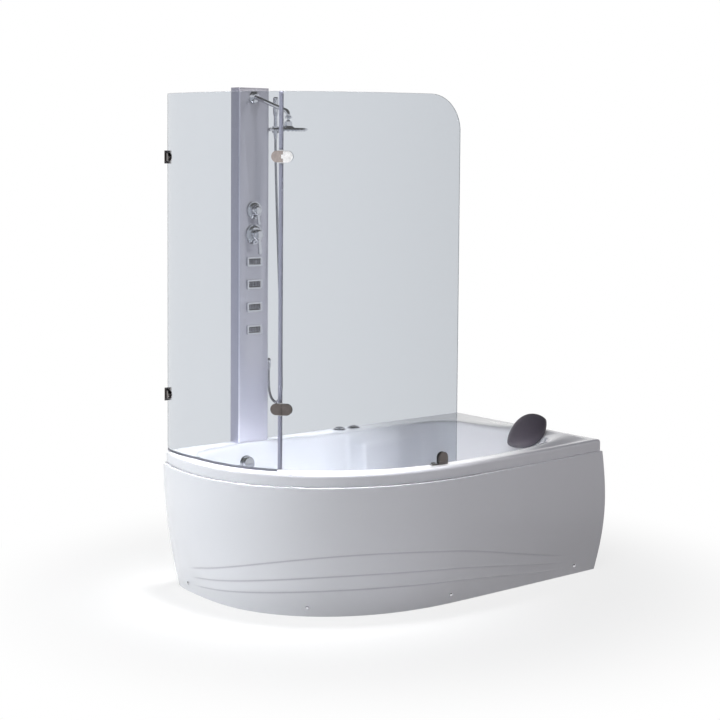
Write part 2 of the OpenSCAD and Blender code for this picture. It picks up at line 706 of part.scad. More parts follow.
module water_pipe() {
    z = bath(0, jet_drop).z - 30;
    tee = [pump_at.x - 25, pump_at.y, pump_out_z + 26];
    module branch(jets, turns) {
        pipe(concat([tee], [for (p = turns) [p.x, p.y, tee.z]], [for (i = jets) outside(i, manifold_out, z)]),
            water_pipe_radius);
    }
    color("gainsboro") {
        rod([tee.x, tee.y, pump_out_z - 20], tee, water_pipe_radius);
        translate(tee) sphere(r = water_pipe_radius * 1.2, $fn = 32);
        branch([jet_stations[1], 29, jet_stations[0]], [[tee.x, outside(40, manifold_out, z).y]]);
        branch([jet_stations[2], jet_stations[3]], [[tee.x, back_run], [suction_back.x - 60, back_run]]);
        for (i = jet_stations) difference() {
            rod(on_bath_at(i, jet_drop, -jet_reach + 2), outside(i, manifold_out, z), 15);
            on_bath(i, jet_drop) translate([0, 0, -jet_reach - 1]) cylinder(h = 14, r = 12 + seat);
        }
    }
}
module air_pipe() {
    z = bath(0, air_drop).z;
    up = [regulator_at.x, regulator_at.y, tub_height - 46 - seat];
    path = [for (i = air_stations) outside(i, air_out, z, air_drop)];
    near = outside(air_near, air_out, z, air_drop);
    color("lightsteelblue") {
        swept(path, air_pipe_radius, air_sides);
        rod([up.x, up.y, z + 40], up, air_pipe_radius);
        rod(near, [up.x, up.y, z + 40], air_pipe_radius - 0.5);
        translate([up.x, up.y, z + 40]) sphere(r = air_pipe_radius * 1.4, $fn = 32);
        for (i = jet_stations) difference() {
            rod(on_bath_at(i, jet_drop, -air_out), outside(i, air_out, z, air_drop), air_pipe_radius - 1);
            on_bath(i, jet_drop) translate([0, 0, -jet_reach]) cylinder(h = jet_reach, r = jet_radius + seat);
        }
    }
}

/* Headrest pillow */
pillow_length = 204;
pillow_width = 172;
pillow_thick = 56;
pillow_station = 49.045;
pillow_out = -22.35;
pillow_rise = 18.9;
pillow_at = let(a = aim(pillow_station), p = centre + (bath_radius(pillow_station) + pillow_out) * a)
    [p.x, p.y, tub_height + pillow_rise];
pillow_turn = -42;
pillow_lean = 51;
pillow_swing = 25.46;
pillow_heading = atan2(aim(pillow_station).y, aim(pillow_station).x) + pillow_swing;
pillow_steps = 24;
pillow_across = 14;
// Half width of the leaf outline, and the crown over it
function leaf(u) = pillow_width / 2 * pow(max(0, 1 - u * u), 0.72) * (1 + 0.16 * u);
function crown(u, v) = pow(max(0, (1 - u * u) * (1 - v * v)), 0.42);
module headrest_pillow() {
    n = pillow_steps;
    m = pillow_across;
    front = [for (i = [1:n - 1]) for (j = [0:m]) let(u = -cos(180 * i / n), v = -cos(180 * j / m))
        [pillow_length / 2 * u, leaf(u) * v, 0.68 * pillow_thick * crown(u, v)]];
    back = [for (i = [1:n - 1]) for (j = [1:m - 1]) let(u = -cos(180 * i / n), v = -cos(180 * j / m))
        [pillow_length / 2 * u, leaf(u) * v, -0.32 * pillow_thick * crown(u, v)]];
    k = len(front);
    w = m + 1;
    tip = k + len(back);
    function low(i, j) = j == 0 || j == m ? i * w + j : k + i * (m - 1) + j - 1;
    faces = [
        for (i = [0:n - 3]) for (j = [0:m - 1]) each
            quad(i * w + j, i * w + j + 1, (i + 1) * w + j + 1, (i + 1) * w + j),
        for (i = [0:n - 3]) for (j = [0:m - 1]) each
            quad(low(i, j), low(i + 1, j), low(i + 1, j + 1), low(i, j + 1)),
        for (j = [0:m - 1]) each [[tip, j + 1, j], [tip, low(0, j), low(0, j + 1)]],
        for (j = [0:m - 1]) let(a = n - 2)
            each [[tip + 1, a * w + j, a * w + j + 1], [tip + 1, low(a, j + 1), low(a, j)]]
    ];
    color("dimgray") translate(pillow_at) rotate([0, -pillow_lean, pillow_heading]) rotate([0, 0, pillow_turn])
        polyhedron(points = concat(front, back, [[-pillow_length / 2, 0, 0], [pillow_length / 2, 0, 0]]),
            faces = faces, convexity = 4);
}

/* Shower column */
column_x = left + 451;
column_front = wall_y - column_depth;
column_top = tub_height + column_height;
column_round = 6;
diverter_rise = 1002;
mixer_below = 103;
diverter_z = tub_height + diverter_rise;
mixer_z = diverter_z - mixer_below;
first_jet_z = tub_height + 782;
body_jets = [for (k = [0:3]) first_jet_z - k * body_jet_pitch];
body_jet_size = [75, 40];
arm_drop = 40;
arm_z = column_top - arm_drop;
holder_z = tub_height + 1348;
outlet_z = tub_height + 345;
hose_x = column_x + column_width / 2 + 22;
handset_y = wall_y - 79;
outlet_y = wall_y - 34;
module column_outline(grow) {
    w = column_width / 2 + grow;
    d = column_depth + grow;
    r = column_round;
    for (s = [-1, 1]) translate([s * (w - r), -d + r]) circle(r = r);
    translate([-w + r, -d]) square([2 * (w - r), d]);
    translate([-w, -d + r]) square([2 * w, d - r]);
}
module column_section() {
    difference() {
        column_outline(0);
        translate([-column_width / 2 + column_wall, -column_depth + column_wall])
            square([column_width - 2 * column_wall, column_depth]);
    }
}
module column_body() {
    color("silver") translate([column_x, wall_y, tub_height + 3]) difference() {
        linear_extrude(column_height - 6) column_section();
        for (z = [mixer_z, diverter_z]) translate([0, -column_depth - 1, z - tub_height - 3]) rotate([-90, 0, 0])
            cylinder(h = 10, r = 20);
        translate([0, -column_depth - 1, arm_z - tub_height - 3]) rotate([-90, 0, 0]) cylinder(h = 10, r = 11);
        for (z = body_jets) translate([-32, -column_depth - 1, z - tub_height - 3 - 15]) cube([64, 10, 30]);
        translate([column_width / 2 - 8, outlet_y - wall_y, outlet_z - tub_height - 3]) rotate([0, 90, 0])
            cylinder(h = 10, r = 9);
    }
}
module column_caps() {
    color("gainsboro") {
        translate([column_x, wall_y, column_top - 2.7]) linear_extrude(2.7) column_outline(0);
        translate([column_x, wall_y, tub_height + seat]) linear_extrude(2.4) column_outline(0);
    }
}
bracket_zs = [tub_height + 180, column_top - 120];
module column_brackets() {
    color("gray") for (z = bracket_zs) translate([column_x, wall_y, z]) {
        difference() {
            translate([-column_width / 2 + column_wall + seat, -3, 0])
                cube([column_width - 2 * column_wall - 2 * seat, 3, 60]);
            for (s = [-1, 1]) translate([s * 45, 1, 30]) rotate([90, 0, 0]) cylinder(h = 6, r = 3.5);
        }
        for (s = [-1, 1]) translate([s * (column_width / 2 - column_wall - seat - 1.5) - 1.5, -40, 0])
            cube([3, 38, 60]);
    }
}
inlet_z = tub_height + 60;
inlet_gap = 50;
inlet_stub = 12;
module column_pipework() {
    y = wall_y - 21;
    front = column_front + 24;
    color("goldenrod") {
        rod([column_x, column_front + 9.6, mixer_z], [column_x, y + 12, mixer_z], 24);
        rod([column_x, column_front + 9.6, diverter_z], [column_x, y + 12, diverter_z], 20);
        for (s = [-1, 1]) {
            x = column_x + s * inlet_gap / 2;
            pipe([[x, wall_y, inlet_z], [x, y, inlet_z], [x, y, mixer_z - 60],
                [column_x + s * 16, y, mixer_z - 6]], 8);
            translate([x, wall_y - inlet_stub, inlet_z]) rotate([90, 0, 0]) cylinder(h = 10, r = 13, $fn = 6);
        }
        rod([column_x, y, mixer_z], [column_x, y, diverter_z], 8);
        pipe([[column_x, y, diverter_z], [column_x, y, arm_z], [column_x, column_front + 6 + seat, arm_z]], 7);
    }
    color("lightsteelblue") {
        pipe([[column_x + 12, y, diverter_z + 8], [column_x + 52, y, diverter_z - 40],
            [column_x + 52, outlet_y, diverter_z - 90], [column_x + 52, outlet_y, outlet_z],
            [column_x + column_width / 2 - 9 - seat, outlet_y, outlet_z]], 6);
        pipe([[column_x - 12, y, diverter_z], [column_x - 50, front, diverter_z - 40],
            [column_x - 50, front, body_jets[3]]], 6);
        for (z = body_jets)
            pipe([[column_x - 50, front, z], [column_x, front, z], [column_x, column_front + 16 + seat, z]], 5);
    }
}
module face_turn(z) {
    translate([column_x, column_front, z]) rotate([90, 0, 0]) children();
}
module diverter_base() {
    color("silver") face_turn(diverter_z) difference() {
        union() {
            translate([0, 0, seat]) cylinder(h = 5, r = 37.5);
            translate([0, 0, 5]) cylinder(h = 6, r1 = 35, r2 = 24);
            translate([0, 0, -9]) cylinder(h = 12, r = 19);
        }
        translate([0, 0, -2]) cylinder(h = 20, r = 14);
    }
}
diverter_turn = 10;
mixer_turn = 3;
module handle_blade(turn, length, start, width, thick) {
    rotate([0, 0, turn]) translate([0, -start, 0]) {
        translate([-width * 0.32, -(length - start) * 0.5, 0]) cube([width * 0.64, (length - start) * 0.5 + 4, thick]);
        translate([0, -(length - start) + width / 2, 0]) cylinder(h = thick, r = width / 2);
        translate([-width * 0.4, -(length - start) + width / 2, 0])
            cube([width * 0.8, (length - start) * 0.6, thick]);
    }
}
module diverter_handle() {
    color("silver") face_turn(diverter_z) {
        cylinder(h = 14, r = 14 - fit);
        translate([0, 0, 11.5]) cylinder(h = 16, r1 = 24, r2 = 19);
        translate([0, 0, 27.5]) cylinder(h = 3, r1 = 19, r2 = 14);
        translate([0, 0, 20]) handle_blade(diverter_turn, 62, 16, 14, 7);
    }
}
module mixer_base() {
    color("silver") face_turn(mixer_z) difference() {
        union() {
            translate([0, 0, seat]) cylinder(h = 5, r = 42);
            translate([0, 0, 5]) cylinder(h = 6, r1 = 40, r2 = 28);
            translate([0, 0, 11]) cylinder(h = 6, r = 26);
            translate([0, 0, -9]) cylinder(h = 12, r = 19);
        }
        translate([0, 0, -2]) cylinder(h = 20, r = 16);
    }
}
module mixer_hub() {
    color("silver") face_turn(mixer_z) difference() {
        union() {
            cylinder(h = 20, r = 16 - fit);
            translate([0, 0, 17.5]) cylinder(h = 6.5, r = 22);
            translate([0, 0, 24]) cylinder(h = 7.5, r1 = 22, r2 = 13);
        }
        translate([-16, -7.5, 21]) cube([32, 15, 20]);
        translate([-30, 0, lever_pivot]) rotate([0, 90, 0]) cylinder(h = 60, r = 2.5 + fit);
    }
}
lever_pivot = 25.5;
module mixer_lever() {
    color("silver") face_turn(mixer_z) {
        translate([0, 0, lever_pivot]) rotate([0, 90, 0]) cylinder(h = 38, r = 2.5, center = true);
        translate([-15, -5.5, lever_pivot - 2]) cube([30, 11, 14]);
        translate([0, 0, 35.2]) cylinder(h = 6, r1 = 22, r2 = 21);
        translate([0, 0, 41.2]) cylinder(h = 3, r1 = 21, r2 = 14);
        translate([0, 0, 36]) handle_blade(mixer_turn, 84, 18, 18, 7);
    }
}
module body_jet_frames() {
    color("silver") for (z = body_jets) face_turn(z) difference() {
        union() {
            translate([0, 0, seat]) rounded_box([body_jet_size.x, body_jet_size.y, 7], 3);
            translate([0, 0, -16]) rounded_box([63, 29, 17], 2);
        }
        translate([0, 0, -8]) rounded_box([59, 26, 20], 1);
        for (s = [-1, 1]) translate([s * 27, 0, 2]) rotate([0, 90, 0]) cylinder(h = 8, r = 2 + fit, center = true);
    }
}
module body_jet_plate(k) {
    color("gainsboro") face_turn(body_jets[k]) difference() {
        union() {
            translate([0, 0, -2]) rounded_box([57, 23.4, 6], 1.5);
            translate([0, 0, 2]) rotate([0, 90, 0]) cylinder(h = 61, r = 2, center = true);
            for (x = [-21, -7, 7, 21]) for (y = [-5, 5]) translate([x, y, 4]) cylinder(h = 2, r1 = 3.2, r2 = 2.4);
        }
        for (x = [-21, -7, 7, 21]) for (y = [-5, 5]) translate([x, y, 3]) cylinder(h = 4, r = 1);
    }
}
arm_slope = 15;
arm_reach = 221;
arm_bend = 24;
arm_radius = 9;
arm_start = column_front - 8;
head_y = arm_start - arm_reach - arm_bend * (1 - sin(arm_slope));
bend_z = arm_z - arm_reach * tan(arm_slope);
corner_z = arm_z - (arm_start - head_y) * tan(arm_slope);
nut_z = bend_z - arm_bend * cos(arm_slope);
ball_z = nut_z - 26;
module shower_arm() {
    color("silver") {
        translate([column_x, column_front - seat, arm_z]) rotate([90, 0, 0]) cylinder(h = 5, r1 = 27, r2 = 22);
        pipe([[column_x, column_front + 6, arm_z], [column_x, arm_start, arm_z],
            [column_x, head_y, corner_z], [column_x, head_y, nut_z]], arm_radius);
        translate([column_x, head_y, nut_z - 12]) cylinder(h = 14, r = 13);
        translate([column_x, head_y, nut_z - 12]) cylinder(h = 9, r = 15, $fn = 6);
        difference() {
            translate([column_x, head_y, ball_z]) sphere(r = 11);
            translate([column_x - 20, head_y - 20, ball_z - 30]) cube([40, 40, 22]);
        }
        translate([column_x, head_y, ball_z]) cylinder(h = 16, r = 6);
    }
}
tilt_gap = 0.35;
module shower_head() {
    translate([column_x, head_y, ball_z]) {
        color("silver") difference() {
            union() {
                translate([0, 0, -16]) cylinder(h = 20, r1 = 18, r2 = 15);
                translate([0, 0, -24]) cylinder(h = 9, r1 = 34, r2 = 18);
                translate([0, 0, -31]) cylinder(h = 8, r1 = head_diameter / 2, r2 = head_diameter / 2 - 4);
                translate([0, 0, -35]) cylinder(h = 4, r = head_diameter / 2 - 4);
            }
            sphere(r = 11 + tilt_gap);
            cylinder(h = 10, r = 11 + tilt_gap);
        }
        color("dimgray") for (ring = [[6, 18], [12, 36], [20, 56], [26, 68]]) for (k = [1:ring[0]])
            rotate([0, 0, 360 * k / ring[0]]) translate([ring[1] * head_diameter / 165, 0, -37])
                cylinder(h = 3, r1 = 1.4, r2 = 2);
    }
}

/* Hand shower, holder and hose */
cone_top = holder_z + 14;
module handset_holder() {
    side = column_x + column_width / 2;
    base_y = wall_y - 44;
    color("silver") difference() {
        union() {
            translate([side + seat, base_y, holder_z]) rotate([0, 90, 0]) cylinder(h = 6, r1 = 14, r2 = 12);
            rod([side + 8, base_y - 2, holder_z], [hose_x, handset_y + 8, holder_z], 7);
            translate([hose_x, handset_y, holder_z - 14]) cylinder(h = 28, r = 15);
        }
        translate([hose_x, handset_y, holder_z - 15]) cylinder(h = 30, r1 = 9 + fit, r2 = 11.5 + fit);
        translate([hose_x - 5.5, handset_y - 30, holder_z - 15]) cube([11, 30, 30]);
    }
}
module hand_shower() {
    color("silver") translate([hose_x, handset_y, holder_z]) {
        translate([0, 0, -15]) cylinder(h = 30, r1 = 9, r2 = 11.5);
        translate([0, 0, 15]) cylinder(h = 40, r1 = 9, r2 = 8);
        translate([0, 0, 55]) cylinder(h = 18, r1 = 8, r2 = 12);
        difference() {
            translate([0, 0, 73]) cylinder(h = 62, r = 12);
            translate([-20, -29, 78]) cube([40, 20, 50]);
        }
        translate([0, 0, 135]) cylinder(h = 5, r1 = 12, r2 = 8);
    }
    color("dimgray") translate([hose_x, handset_y - 9, holder_z]) for (x = [-4, 0, 4]) for (k = [0:5])
        translate([x, 0, 84 + 7.6 * k]) rotate([90, 0, 0]) cylinder(h = 1.2, r = 1.1);
}
module hose_outlet() {
    side = column_x + column_width / 2;
    color("silver") {
        translate([side + seat, outlet_y, outlet_z]) rotate([0, 90, 0]) cylinder(h = 5, r1 = 18, r2 = 15);
        translate([side - 9, outlet_y, outlet_z]) rotate([0, 90, 0]) cylinder(h = 12, r = 8.6);
        translate([side, outlet_y, outlet_z]) rotate([0, 90, 0]) cylinder(h = 22, r = 9);
        translate([hose_x, outlet_y, outlet_z]) sphere(r = 10);
        translate([hose_x, outlet_y, outlet_z - 16]) cylinder(h = 16, r = 9);
    }
}
nut_length = 24;
module hose_nuts() {
    color("silver") {
        translate([hose_x, handset_y, holder_z - 15 - seat - nut_length])
            cylinder(h = nut_length, r1 = hose_diameter / 2 + 1, r2 = 10);
        translate([hose_x, outlet_y, outlet_z - 16 - seat - nut_length])
            cylinder(h = nut_length, r1 = hose_diameter / 2 + 1, r2 = 9.5);
    }
}
// The hose's route in its plane: distance from the wall and height, from the handset to the outlet
hose_top = holder_z - 15 - seat - nut_length;
hose_end = outlet_z - 16 - seat - nut_length;
hose_route = [
    [79, 0], [79, -12], [79, -30], [80.5, -90], [85, -190], [91, -310], [99, -450], [107, -590], [115, -730],
    [122, -860], [127, -960], [130, -1040], [131, -1090], [129.5, -1122], [123, -1149], [112.5, -1168],
    [98, -1180], [82, -1182], [66.5, -1176], [52, -1163], [42, -1143], [36, -1118], [34, -1084],
    [34, -1052], [34, -1040]
];
function catmull(p, k, s) =
    let(n = len(p) - 1, a = p[max(0, k - 1)], b = p[k], c = p[min(n, k + 1)], d = p[min(n, k + 2)])
    0.5 * (2 * b + (c - a) * s + (2 * a - 5 * b + 4 * c - d) * s * s + (3 * b - a - 3 * c + d) * s * s * s);
hose_sides = 8;
hose_rings = [for (k = [0:len(hose_route) - 2]) each [for (q = [0:2]) [k, q / 3]]];
function hose_point(k, s) =
    let(n = len(hose_route) - 1, p = catmull(hose_route, k, s), span = hose_route[n][1],
        z = hose_top + p[1] * (hose_top - hose_end) / -span)
    [hose_x, wall_y - p[0], z];
module shower_hose() {
    path = concat([for (r = hose_rings) hose_point(r[0], r[1])], [hose_point(len(hose_route) - 2, 1)]);
    color("silver") swept(path, hose_diameter / 2, hose_sides, [1, 0, 0]);
}

/* Glass screen */
joint_t = 0.3113;
door_t = 0.631;
catch_t = 0.6045;
glass_z = tub_height + glass_lift;
glass_top = tub_height + screen_height;
joint_gap = 3;
wall_gap = 6;
// The pane's middle at the wall, and the share of the rim over which it moves in
wall_inset = 8;
wall_ease = 0.13;
hinge_rise = 238;
hinge_drop = 253;
hinge_zs = [glass_z + hinge_rise, glass_top - hinge_drop];
hinge_size = [88, 46];
notch = [24, 30];
plate = 4;
pivot_out = glass_wall / 2 + plate;
// Length of track for one unit of t, and the spans of t of the two panes with their gaps
track_length = norm(edge(joint_t + 0.01) - edge(joint_t - 0.01)) / 0.02;
catch_length = norm(edge(catch_t + 0.01) - edge(catch_t - 0.01)) / 0.02;
fixed_span = [wall_gap / track_length, joint_t - joint_gap / track_length, 24];
door_span = [joint_t + joint_gap / track_length, door_t, 24];
function inset_at(t) = lerp(wall_inset, glass_inset, smooth(t / wall_ease));
function strip(span, half) = let(n = span[2]) concat(
    [for (k = [0:n]) let(t = lerp(span[0], span[1], k / n)) track(t, inset_at(t) - half)],
    [for (k = [n:-1:0]) let(t = lerp(span[0], span[1], k / n)) track(t, inset_at(t) + half)]);
module at_joint(z) {
    on_track(joint_t, glass_inset, z) children();
}
// A pane of glass with its hinge notches, or the room it needs when grown
module pane(span, side, grow = 0) {
    difference() {
        translate([0, 0, glass_z - grow]) linear_extrude(glass_top - glass_z + 2 * grow)
            polygon(strip(span, glass_wall / 2 + grow));
        for (z = hinge_zs) at_joint(z) translate([side > 0 ? -1 : 1 - notch.x + grow, -20, grow - notch.y / 2])
            cube([notch.x - grow, 40, notch.y - 2 * grow]);
    }
}
module fixed_glass() {
    color([0.8, 0.9, 0.95, 0.4]) pane(fixed_span, -1);
}
module door_glass() {
    end = track(door_t, glass_inset);
    color([0.8, 0.9, 0.95, 0.4]) difference() {
        pane(door_span, 1);
        translate([end.x - door_corner, end.y - 60, glass_top - door_corner]) difference() {
            cube([door_corner + 20, 120, door_corner + 1]);
            translate([0, -1, 0]) rotate([-90, 0, 0]) cylinder(h = 122, r = door_corner, $fn = 96);
        }
    }
}
module half_stadium(side, from, thick) {
    r = hinge_size[1] / 2;
    reach = hinge_size[0] / 2 - r;
    rotate([90, 0, 0]) translate([0, 0, -thick / 2]) {
        translate([side * reach, 0, 0]) intersection() {
            cylinder(h = thick, r = r);
            translate([side > 0 ? -0.01 : -r - 1, -r - 1, -1]) cube([r + 1, 2 * r + 2, thick + 2]);
        }
        translate([side > 0 ? from : -reach, -r, 0]) cube([reach - from, 2 * r, thick]);
    }
}
knuckle = 3.4;
knuckle_zs = [-23, -8, 8, 23];
pin_radius = 1.6;
module hinge_leaf(side) {
    pads = glass_wall / 2 + glass_pad;
    for (s = [-1, 1]) translate([0, s * (pads + (plate - glass_pad) / 2), 0])
        half_stadium(side, s < 0 ? 0.4 : 0.6, plate - glass_pad);
    translate([side > 0 ? 4 : -notch.x + 3, -pads - 1, -notch.y / 2 + 2])
        cube([notch.x - 7, 2 * pads + 2, notch.y - 4]);
}
module at_pivot() {
    translate([0, -pivot_out, 0]) children();
}
module hinge_fixed_leaves() {
    color("dimgray") difference() {
        for (z = hinge_zs) at_joint(z) difference() {
            union() {
                hinge_leaf(-1);
                for (k = [0, 2]) at_pivot() translate([0, 0, knuckle_zs[k] + (k == 0 ? 0 : seat)])
                    cylinder(h = 15 - seat, r = knuckle);
            }
            at_pivot() translate([0, 0, knuckle_zs[1]]) cylinder(h = 16, r = knuckle + seat);
            at_pivot() translate([0, 0, -30]) cylinder(h = 60, r = pin_radius + fit / 2);
        }
        pane(fixed_span, -1, seat);
    }
}
module hinge_door_leaves() {
    color("dimgray") difference() {
        for (z = hinge_zs) at_joint(z) difference() {
            union() {
                hinge_leaf(1);
                at_pivot() translate([0, 0, knuckle_zs[1] + seat]) cylinder(h = 16 - 2 * seat, r = knuckle);
            }
            for (k = [0, 2]) at_pivot() translate([0, 0, knuckle_zs[k] - 1 + (k == 2 ? 1 : 0)])
                cylinder(h = 16, r = knuckle + seat);
            at_pivot() translate([0, 0, -30]) cylinder(h = 60, r = pin_radius + fit);
        }
        pane(door_span, 1, seat);
    }
}
module hinge_pins() {
    color("silver") for (z = hinge_zs) at_joint(z) at_pivot() {
        translate([0, 0, -23]) cylinder(h = 46, r = pin_radius);
        for (s = [-1, 1]) translate([0, 0, s * 24 - 1]) cylinder(h = 2, r = 3);
    }
}
module screen_seals() {
    lap = 12;
    foot_span = [fixed_span[0], joint_t - 16 / track_length, 20];
    color([0.7, 0.72, 0.8, 0.7]) at_joint(glass_z) for (run = [[0, hinge_zs[0] - 26], [hinge_zs[0] + 26,
        hinge_zs[1] - 26], [hinge_zs[1] + 26, glass_top]]) {
        low = max(0, run[0] - glass_z);
        translate([0, 0, low]) linear_extrude(run[1] - glass_z - low) difference() {
            translate([-lap - 2, -glass_wall / 2 - 2.4]) square([lap + 4, glass_wall + 4.8]);
            translate([-lap - 3, -glass_wall / 2 - glass_pad])
                square([lap + 3 - joint_gap + seat, glass_wall + 2 * glass_pad]);
        }
    }
    color("gray") translate([0, 0, tub_height + seat])
        linear_extrude(glass_z - glass_pad - tub_height - seat) polygon(strip(foot_span, glass_wall / 2));
}
clamp_zs = [glass_z + 228, glass_top - 262];
clamp_t = wall_gap / track_length;
clamp_reach = [24, 17];
clamp_plate = [34, 5, 54];
clamp_screw = 2.6;
module d_plate(reach, r) {
    translate([0, 0, -3]) {
        intersection() {
            translate([reach, 0, 0]) cylinder(h = 6, r = r);
            translate([reach, -r - 1, -1]) cube([r + 1, 2 * r + 2, 8]);
        }
        translate([0, -r, 0]) cube([reach, 2 * r, 6]);
    }
}
module wall_clamps() {
    p = track(0, wall_inset);
    q = track(clamp_t, inset_at(clamp_t));
    next = track(4 * clamp_t, inset_at(4 * clamp_t));
    turn = atan2(next.y - q.y, next.x - q.x);
    color("dimgray") difference() {
        for (z = clamp_zs) {
            translate([q.x, q.y, z]) rotate([0, 0, turn]) for (s = [-1, 1])
                translate([-4, s * (glass_wall / 2 + glass_pad + 3), 0]) rotate([90, 0, 0])
                    d_plate(clamp_reach[0], clamp_reach[1]);
            translate([p.x - clamp_plate.x / 2, wall_y - clamp_plate.y, z - clamp_plate.z / 2]) difference() {
                cube(clamp_plate);
                for (h = [7, clamp_plate.z - 7]) translate([clamp_plate.x / 2, clamp_plate.y + 1, h])
                    rotate([90, 0, 0]) cylinder(h = clamp_plate.y + 3, r = clamp_screw);
            }
        }
        pane(fixed_span, -1, seat);
    }
}
module door_clamp() {
    pads = glass_wall / 2 + glass_pad;
    color("dimgray") difference() {
        on_track(catch_t, glass_inset, glass_z - 5) {
            for (s = [-1, 1]) translate([0, s * (pads + 3), 0]) rotate([90, 0, 0]) rotate([0, 0, 90]) d_plate(28, 23);
            translate([-23, -pads - 1, 0]) cube([46, 2 * pads + 2, 5 - glass_pad]);
        }
        pane(door_span, 1, seat);
    }
}
module rim_catch() {
    color("dimgray") on_track(catch_t - 38 / catch_length, glass_inset, tub_height + seat) {
        translate([-8, 8, 0]) cube([16, 12, 12]);
        translate([-8, 8, 0]) cube([30, 20, 3]);
    }
}

tub_shell();
base_board();
apron();
apron_brackets();
apron_screws();
frame_rails();
frame_cross_members();
levelling_feet();
rim_posts();
drain_flange();
drain_plug();
waste_trap();
overflow_bezel();
overflow_knob();
overflow_pipe();
deck_bezels();
air_regulator_knob();
push_button();
headrest_pillow();
pump_motor();
pump_housing();
pump_base();
suction_fitting();
water_pipe();
air_pipe();
jet_bodies();
jet_nozzle(jet_stations[0]);  // jet_nozzle_1
jet_nozzle(jet_stations[1]);  // jet_nozzle_2
jet_nozzle(jet_stations[2]);  // jet_nozzle_3
jet_nozzle(jet_stations[3]);  // jet_nozzle_4
column_body();
column_caps();
column_brackets();
column_pipework();
diverter_base();
diverter_handle();
mixer_base();
mixer_hub();
mixer_lever();
body_jet_frames();
body_jet_plate(0);  // body_jet_plate_1
body_jet_plate(1);  // body_jet_plate_2
body_jet_plate(2);  // body_jet_plate_3
body_jet_plate(3);  // body_jet_plate_4
shower_arm();
shower_head();
handset_holder();
hand_shower();
hose_outlet();
shower_hose();
hose_nuts();
fixed_glass();
door_glass();
wall_clamps();
hinge_fixed_leaves();
hinge_door_leaves();
hinge_pins();
screen_seals();
door_clamp();
rim_catch();
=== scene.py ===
"""Jetted bath with a curved apron, a two-panel curved glass screen and a shower column.

Every length is in metres and every surface is a function of two parameters worked out with numpy.
The room's wall is the plane y = WALL, the floor is z = 0, and x runs along the wall to the head end.
"""

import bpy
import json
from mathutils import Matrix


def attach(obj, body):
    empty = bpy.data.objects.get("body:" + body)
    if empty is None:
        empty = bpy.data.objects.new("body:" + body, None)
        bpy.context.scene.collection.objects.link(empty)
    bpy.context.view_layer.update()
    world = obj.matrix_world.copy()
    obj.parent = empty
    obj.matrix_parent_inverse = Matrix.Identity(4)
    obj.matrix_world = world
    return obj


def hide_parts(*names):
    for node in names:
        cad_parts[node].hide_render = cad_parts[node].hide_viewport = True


bl_info = {
    "name": "Jetted bath",
    "version": (1, 0, 0),
    "blender": (4, 5, 0),
    "location": "View3D > Sidebar > Bath",
    "description": "Dresses a jetted bath, its glass screen and its shower column",
    "category": "Add Mesh",
}

import json

import bmesh
import bpy
import numpy as np
from bpy.props import FloatProperty, FloatVectorProperty, PointerProperty
from mathutils import Matrix, Vector

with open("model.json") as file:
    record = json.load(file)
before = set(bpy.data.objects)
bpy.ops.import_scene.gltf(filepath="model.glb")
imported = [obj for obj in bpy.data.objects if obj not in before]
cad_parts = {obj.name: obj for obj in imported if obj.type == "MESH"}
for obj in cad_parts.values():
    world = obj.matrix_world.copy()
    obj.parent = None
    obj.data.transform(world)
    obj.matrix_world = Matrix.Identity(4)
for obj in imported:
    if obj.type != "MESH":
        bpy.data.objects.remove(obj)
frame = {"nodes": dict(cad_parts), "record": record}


# Sizes and colours

def metres(name, description, default):
    return FloatProperty(name=name, description=description, default=default, unit="LENGTH")


def tint(name, description, default):
    return FloatVectorProperty(name=name, description=description, default=default, size=3,
                               min=0, max=1, subtype="COLOR")


class BathSizes(bpy.types.PropertyGroup):
    """Sizes of the bath that a user may change."""

    rim_length: metres("Rim length", "Length of the rim along the wall", 1.7)
    rim_depth: metres("Rim depth", "Depth of the rim from the wall", 1.0)
    rim_height: metres("Rim height", "Height of the rim above the floor", 0.59)
    lip_height: metres("Lip height", "Height of the lip under the rim", 0.05)
    rim_width: metres("Rim width", "Width of the rim under the glass", 0.076)
    bath_depth: metres("Bath depth", "Depth inside the bath", 0.43)
    hump_height: metres("Headrest hump", "Rise of the deck behind the pillow", 0.026)
    shell_wall: metres("Shell wall", "Wall of the moulded shell", 0.006)
    apron_wall: metres("Apron wall", "Wall of the apron", 0.005)
    apron_proud: metres("Apron ledge", "How far the apron stands proud of the lip", 0.015)
    wave_relief: metres("Wave relief", "Depth of the waves on the apron", 0.0035)
    glass_wall: metres("Glass thickness", "Thickness of the screen's glass", 0.006)
    glass_inset: metres("Glass inset", "Rim's edge to the middle of the glass", 0.036)
    screen_height: metres("Screen height", "Height of the screen above the rim", 1.49)
    door_corner: metres("Door corner", "Radius of the door's top corner", 0.15)
    hose_diameter: metres("Hose diameter", "Outside diameter of the shower hose", 0.012)
    pillow_length: metres("Pillow length", "Pillow from tip to tip", 0.204)
    pillow_width: metres("Pillow width", "Pillow across", 0.172)
    pillow_thick: metres("Pillow thickness", "Pillow at its crown", 0.056)


